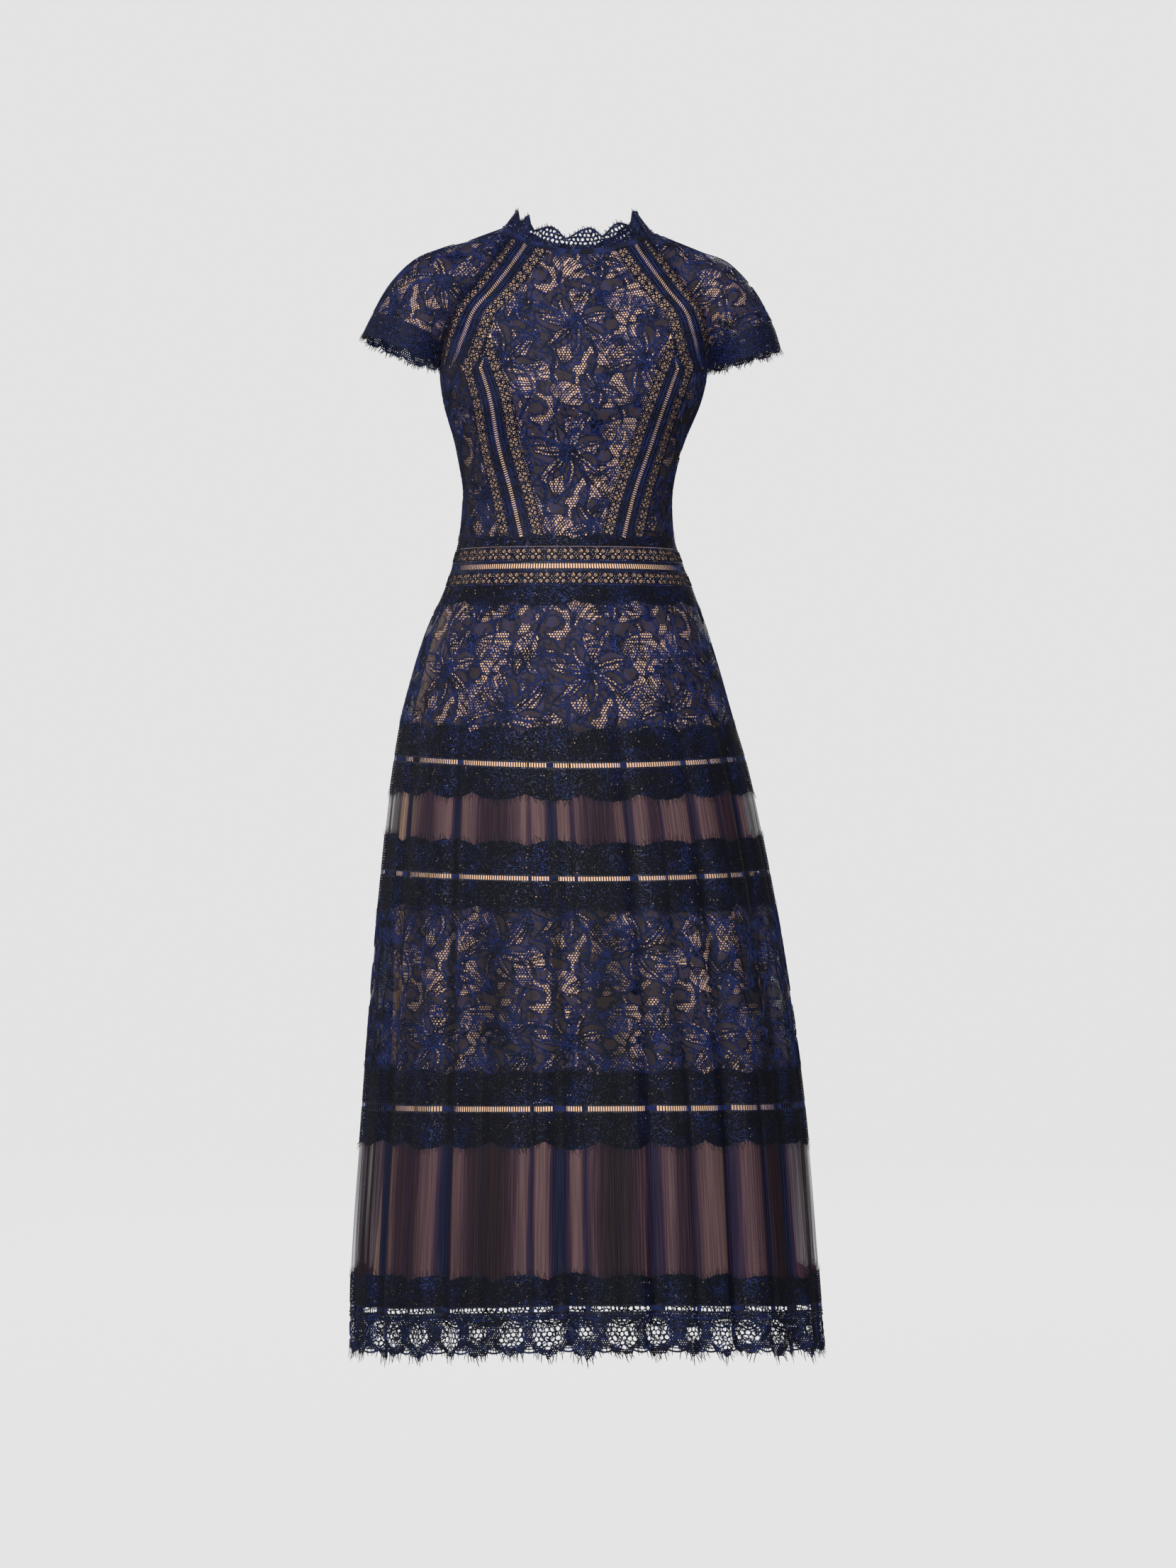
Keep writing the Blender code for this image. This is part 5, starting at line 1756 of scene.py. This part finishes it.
def makeSleeves():
    slot = "eyelash_lace"
    for name, patch in sleeves.items():
        half = levelValues(patch, lambda row: np.interp(row, patch["levels"], patch["half"]))
        sides = (negative(half), half)
        end, trimEnd = levelV(patch, dress["sleeveEnd"]), levelV(patch, dress["sleeveTrimEnd"])
        lacePanel(f"sleeve_{name}", patch, (0.0, end), sides,
                  (70.0, 20.0) if name == "left" else (118.0, 92.0))
        edge = scallops(0.0050, 0.030, 3.0, 0.0005)
        trim = makeSheet(f"sleeve_hem_trim_{name}", patch, (end, trimEnd), sides, 0.0024,
                         finishes["hem"], 0.0004, (None, edge),
                         field=lambda p, u, v: {"open": 0 * u - 4})
        wide = float(half(trimEnd))
        hairs = lashes(patch, lambda u: trimEnd + edge(u), (-wide, wide), 1, 0.0016, 0.0062, 11)
        fringe = scatter(f"sleeve_hem_lashes_{name}", lash, hairs, finishes["lash"])
        u = np.arange(-float(half(end)), float(half(end)), 0.0036)
        spots = clothSpots(patch, u, end - 0.0010 + 0 * u, 1 + 0 * u, 0 * u,
                           (0.0022, 0.7, 0.8), 0.0006)
        stitches = scatter(f"sleeve_stitches_{name}", bar, spots, finishes["ribbon"])
        trims = [wear(fringe, slot), wear(stitches, slot)]
        wear(trim, slot, f"sleeve_hem_trim_{name}")
        cut(trim, trim["length"], trim["height"], trims)
        fitLining(f"sleeve_lining_{name}", patch, (levelV(patch, 0.15), end - 0.001),
                  (lambda v: -half(v) + 0.004, lambda v: half(v) - 0.004))
    print("sleeves made")


def fitLining(name, patch, span, sides):
    """A lining that lies close under the lace."""
    inward = -dress["wall"] - dress["liningClearance"]
    piece = makeSheet(name, patch, span, sides, 0.006, finishes["lining"], inward)
    wear(piece, "nude_lining", name)
    cut(piece, piece["length"], piece["height"])


def makeLinings():
    for name, patch, side in (("front", front, 0), ("back_right", back, -1),
                              ("back_left", back, 1)):
        def reach(level):
            if level <= 2:
                return rowLength(level, side != 0)
            return float(np.interp(level, patch["levels"], patch["half"]))
        far = levelValues(patch, reach)
        sides = sided(lambda v: 0.0022 + 0 * v, far, side) if side else (negative(far), far)
        fitLining(f"bodice_lining_{name}", patch, (0.0, patch["v"][-1]), sides)
    half = slipForm["length"] / 2
    piece = makeSheet("skirt_lining", slipForm, (dress["slipTop"], dress["slipEnd"]),
                      sidesOf(-half + 0.0006, half - 0.0006), 0.007, finishes["lining"])
    wear(piece, "nude_lining", "skirt_lining")
    cut(piece, float(slipForm["run"].max()),
        dress["slipEnd"] - dress["slipTop"])
    print("linings made")


# How high the collar stands over its seam along the front, by the seam's x.
collar = table(
    ("x", "rise"),
    (-0.0806, 0.0200), (-0.0792, 0.0200), (-0.0775, 0.0105), (-0.0685, 0.0235), (-0.0655, 0.0262),
    (-0.0642, 0.0178), (-0.0590, 0.0118), (-0.0500, 0.0178), (-0.0430, 0.0222), (-0.0360, 0.0242),
    (-0.0290, 0.0222), (-0.0230, 0.0176), (-0.0175, 0.0146), (-0.0100, 0.0190), (0.0000, 0.0252),
    (0.0126, 0.0282), (0.0200, 0.0256), (0.0280, 0.0180), (0.0320, 0.0160), (0.0380, 0.0195),
    (0.0470, 0.0246), (0.0540, 0.0250), (0.0620, 0.0205), (0.0698, 0.0142), (0.0725, 0.0190),
    (0.0746, 0.0290), (0.0790, 0.0262), (0.0815, 0.0235), (0.0835, 0.0200), (0.0845, 0.0190),
)


def neckSeam():
    ring = []
    for side in (-1, 1):
        arch, _ = sleeveArch(0.0, side)
        behind, before = (halfRow(0.0, isBack) * [side, 1, 1] + [shiftOf(0.0), 0, 0]
                          for isBack in (True, False))
        half = np.vstack([behind, arch[::-1], before[::-1]])
        half = half[np.concatenate(([True], np.linalg.norm(np.diff(half, axis=0), axis=1) > 1e-6))]
        ring.append(half)
    return evenly(np.vstack([ring[0], ring[1][-2::-1]]), 401)


collarForm = {"lean": 0.80, "height": 0.024, "foot": 0.0028, "footOut": 0.022,
              "behind": 0.0180, "waves": 0.0030, "waveLong": 0.034}


def makeCollar():
    low = neckSeam() + [0, 0, 0.0004]
    run = lengths(low)
    isFront = low[:, 1] < 0.004
    rise = np.interp(low[:, 0], collar["x"], collar["rise"])
    waves = np.abs(np.sin(math.pi * run / collarForm["waveLong"]))
    behind = collarForm["behind"] + collarForm["waves"] * waves
    rise = np.where(isFront, rise, behind)
    lean, footOut, height = (collarForm[key] for key in ("lean", "footOut", "height"))
    high = low * [lean, lean, 1] + np.column_stack([0 * rise, 0 * rise, rise])
    t = np.linspace(1, 0, 13)[:, None, None]
    points = low + (high - low) * t
    points[-1] += low * [footOut, footOut, 0] - [0, 0, collarForm["foot"]]
    inside = points.mean(axis=1, keepdims=True)
    patch = makePatch(points, np.linspace(0, height, 13), np.full(13, run[-1] / 2), inside)
    heights = t[..., 0] * rise[None, :]
    uv = np.stack([np.broadcast_to(run - run[-1] / 2, heights.shape), heights], -1)
    plain = (np.abs(low[:, 0]) - 0.062) * 1000 * isFront - 50 * ~isFront
    opened = np.minimum(heights * 1000 - 7.5, (rise[None, :] - heights) * 1000 - 2.4)
    opened = np.minimum(opened, -plain[None, :])
    piece = gridObject("collar", points, uv, finishes["collarNet"], False, patch["flip"],
                       {"open": opened})
    wear(piece, "eyelash_lace", "collar")
    u = np.linspace(-run[-1] / 2, run[-1] / 2, 400)
    cords = [(np.column_stack([u, np.full(400, v)]), thick)
             for v, thick in ((0.0006, 0.0009), (0.0228, 0.0011), (0.0212, 0.0009))]
    trims = [wear(cordObject("collar_cords", patch, cords, finishes["cord"]), "eyelash_lace")]
    hairs = lashes(patch, lambda u: 0.0004 + 0 * u, (-run[-1] / 2, run[-1] / 2), -1, 0.0031,
                   0.0050, 5)
    rng = np.random.default_rng(8)
    upright = hairs[1] * 0.35 + [0, 0, 1.0]
    hairs[1] = unit(upright + rng.normal(0, 0.25, upright.shape))
    trims.append(wear(scatter("collar_lashes", lash, hairs, finishes["lash"]), "eyelash_lace"))
    cut(piece, run[-1], height, trims)
    print("collar made")


def makeZip():
    """The closed strip of the concealed zip, with a groove where its edges meet."""
    across = np.array([-0.0023, -0.0012, -0.0004, 0.0, 0.0004, 0.0012, 0.0023])
    lifts = np.array([0.0000, 0.0005, 0.0004, -0.0004, 0.0004, 0.0005, 0.0000])
    rows = []
    for v in np.linspace(levelV(back, 0.02), levelV(back, 2.0), 180):
        rows.append(patchAt(back, across, v, lifts)[0])
    for down in np.linspace(0.3305, dress["zipEnd"], 60):
        half = float(np.interp(down, skirt["v"], skirt["half"]))
        rows.append(patchAt(skirt, half - across, down, lifts)[0])
    points = np.array(rows)
    run = lengths(points[:, 3])
    uv = np.stack(np.broadcast_arrays(across, -run[:, None]), -1)
    piece = gridObject("back_zip", points, uv, finishes["zipTape"], False, True)
    wear(piece, "zip_tape", "back_zip")
    for node in ("zip_slider", "zip_pull"):
        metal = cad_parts[node]
        metal.data.materials.clear()
        metal.data.materials.append(finishes["zipMetal"])
    print("zip made")


def makeStage():
    """A pale round bowl under and around the dress, with soft light."""
    floor, flat, bend, rim = -1.42, 5.5, 3.0, 7.0
    profile = [(1.0, 0.0), (3.0, 0.0), (flat, 0.0)]
    profile += [(flat + bend * math.sin(a), bend - bend * math.cos(a))
                for a in np.linspace(0.08, math.pi / 2, 20)]
    profile += [(flat + bend, rim)]
    count = 96
    turns = 2 * math.pi * np.arange(count) / count
    vertices = [(r * math.cos(a), r * math.sin(a), floor + z) for r, z in profile for a in turns]
    faces = [(i + k, i + count + k, i + count + (k + 1) % count, i + (k + 1) % count)
             for i in range(0, count * (len(profile) - 1), count) for k in range(count)]
    material, _, inputs = newMaterial("paleFloor", 0.9, 0.0)
    inputs["Base Color"].default_value = (0.008, 0.008, 0.008, 1)
    inputs["Emission Color"].default_value = shade(227, 227, 227)
    inputs["Emission Strength"].default_value = 1.0
    bowl = meshObject("paleFloor", vertices, faces + [tuple(range(count))], material, True)
    bowl.visible_diffuse = bowl.visible_shadow = bowl.visible_glossy = False
    world = bpy.data.worlds.new("softRoom")
    world.use_nodes = True
    world.node_tree.nodes["Background"].inputs["Color"].default_value = (1, 1, 1, 1)
    world.node_tree.nodes["Background"].inputs["Strength"].default_value = 0.17
    bpy.context.scene.world = world
    lamps = (
        ("keyLamp", (-1.4, -4.7, 1.2), 2.0, 330),
        ("fillLamp", (2.4, -4.2, 0.0), 2.2, 70),
        ("backLamp", (0.8, 4.6, 1.4), 2.4, 230),
        ("sideLamp", (-4.4, 1.6, 0.4), 2.0, 50),
    )
    for name, place, size, power in lamps:
        light = bpy.data.lights.new(name, "AREA")
        light.shape, light.size, light.energy = "DISK", size, power
        lamp = bpy.data.objects.new(name, light)
        bpy.context.scene.collection.objects.link(lamp)
        lamp.location = place
        aim = np.array([0, 0, -0.55]) - place
        lamp.rotation_euler = (math.atan2(math.hypot(aim[0], aim[1]), -aim[2]), 0,
                               math.atan2(-aim[0], aim[1]))
        lamp.visible_camera = False


def makeCamera():
    look = {"target": (0.0136, 0.0, -0.594), "distance": 6.0, "azimuth": -4.5, "lens": 125.97}
    data = bpy.data.cameras.new("camera")
    data.lens, data.sensor_width, data.sensor_fit = look["lens"], 36.0, "AUTO"
    data.clip_end = 50.0
    camera = bpy.data.objects.new("camera", data)
    bpy.context.scene.collection.objects.link(camera)
    turn = math.radians(look["azimuth"])
    x, y, z = look["target"]
    away = look["distance"]
    camera.location = (x + away * math.sin(turn), y - away * math.cos(turn), z)
    camera.rotation_euler = (math.pi / 2, 0, turn)
    bpy.context.scene.camera = camera


makeCamera()
makeStage()
makeStrips()
makeBodice()
makeSleeves()
makeLinings()
makeCollar()
makeZip()
for helper in (bar, lash, blossom):
    bpy.data.objects.remove(helper)

bpy.context.scene.view_settings.view_transform = "Standard"
bpy.context.scene.cycles.transparent_max_bounces = 24
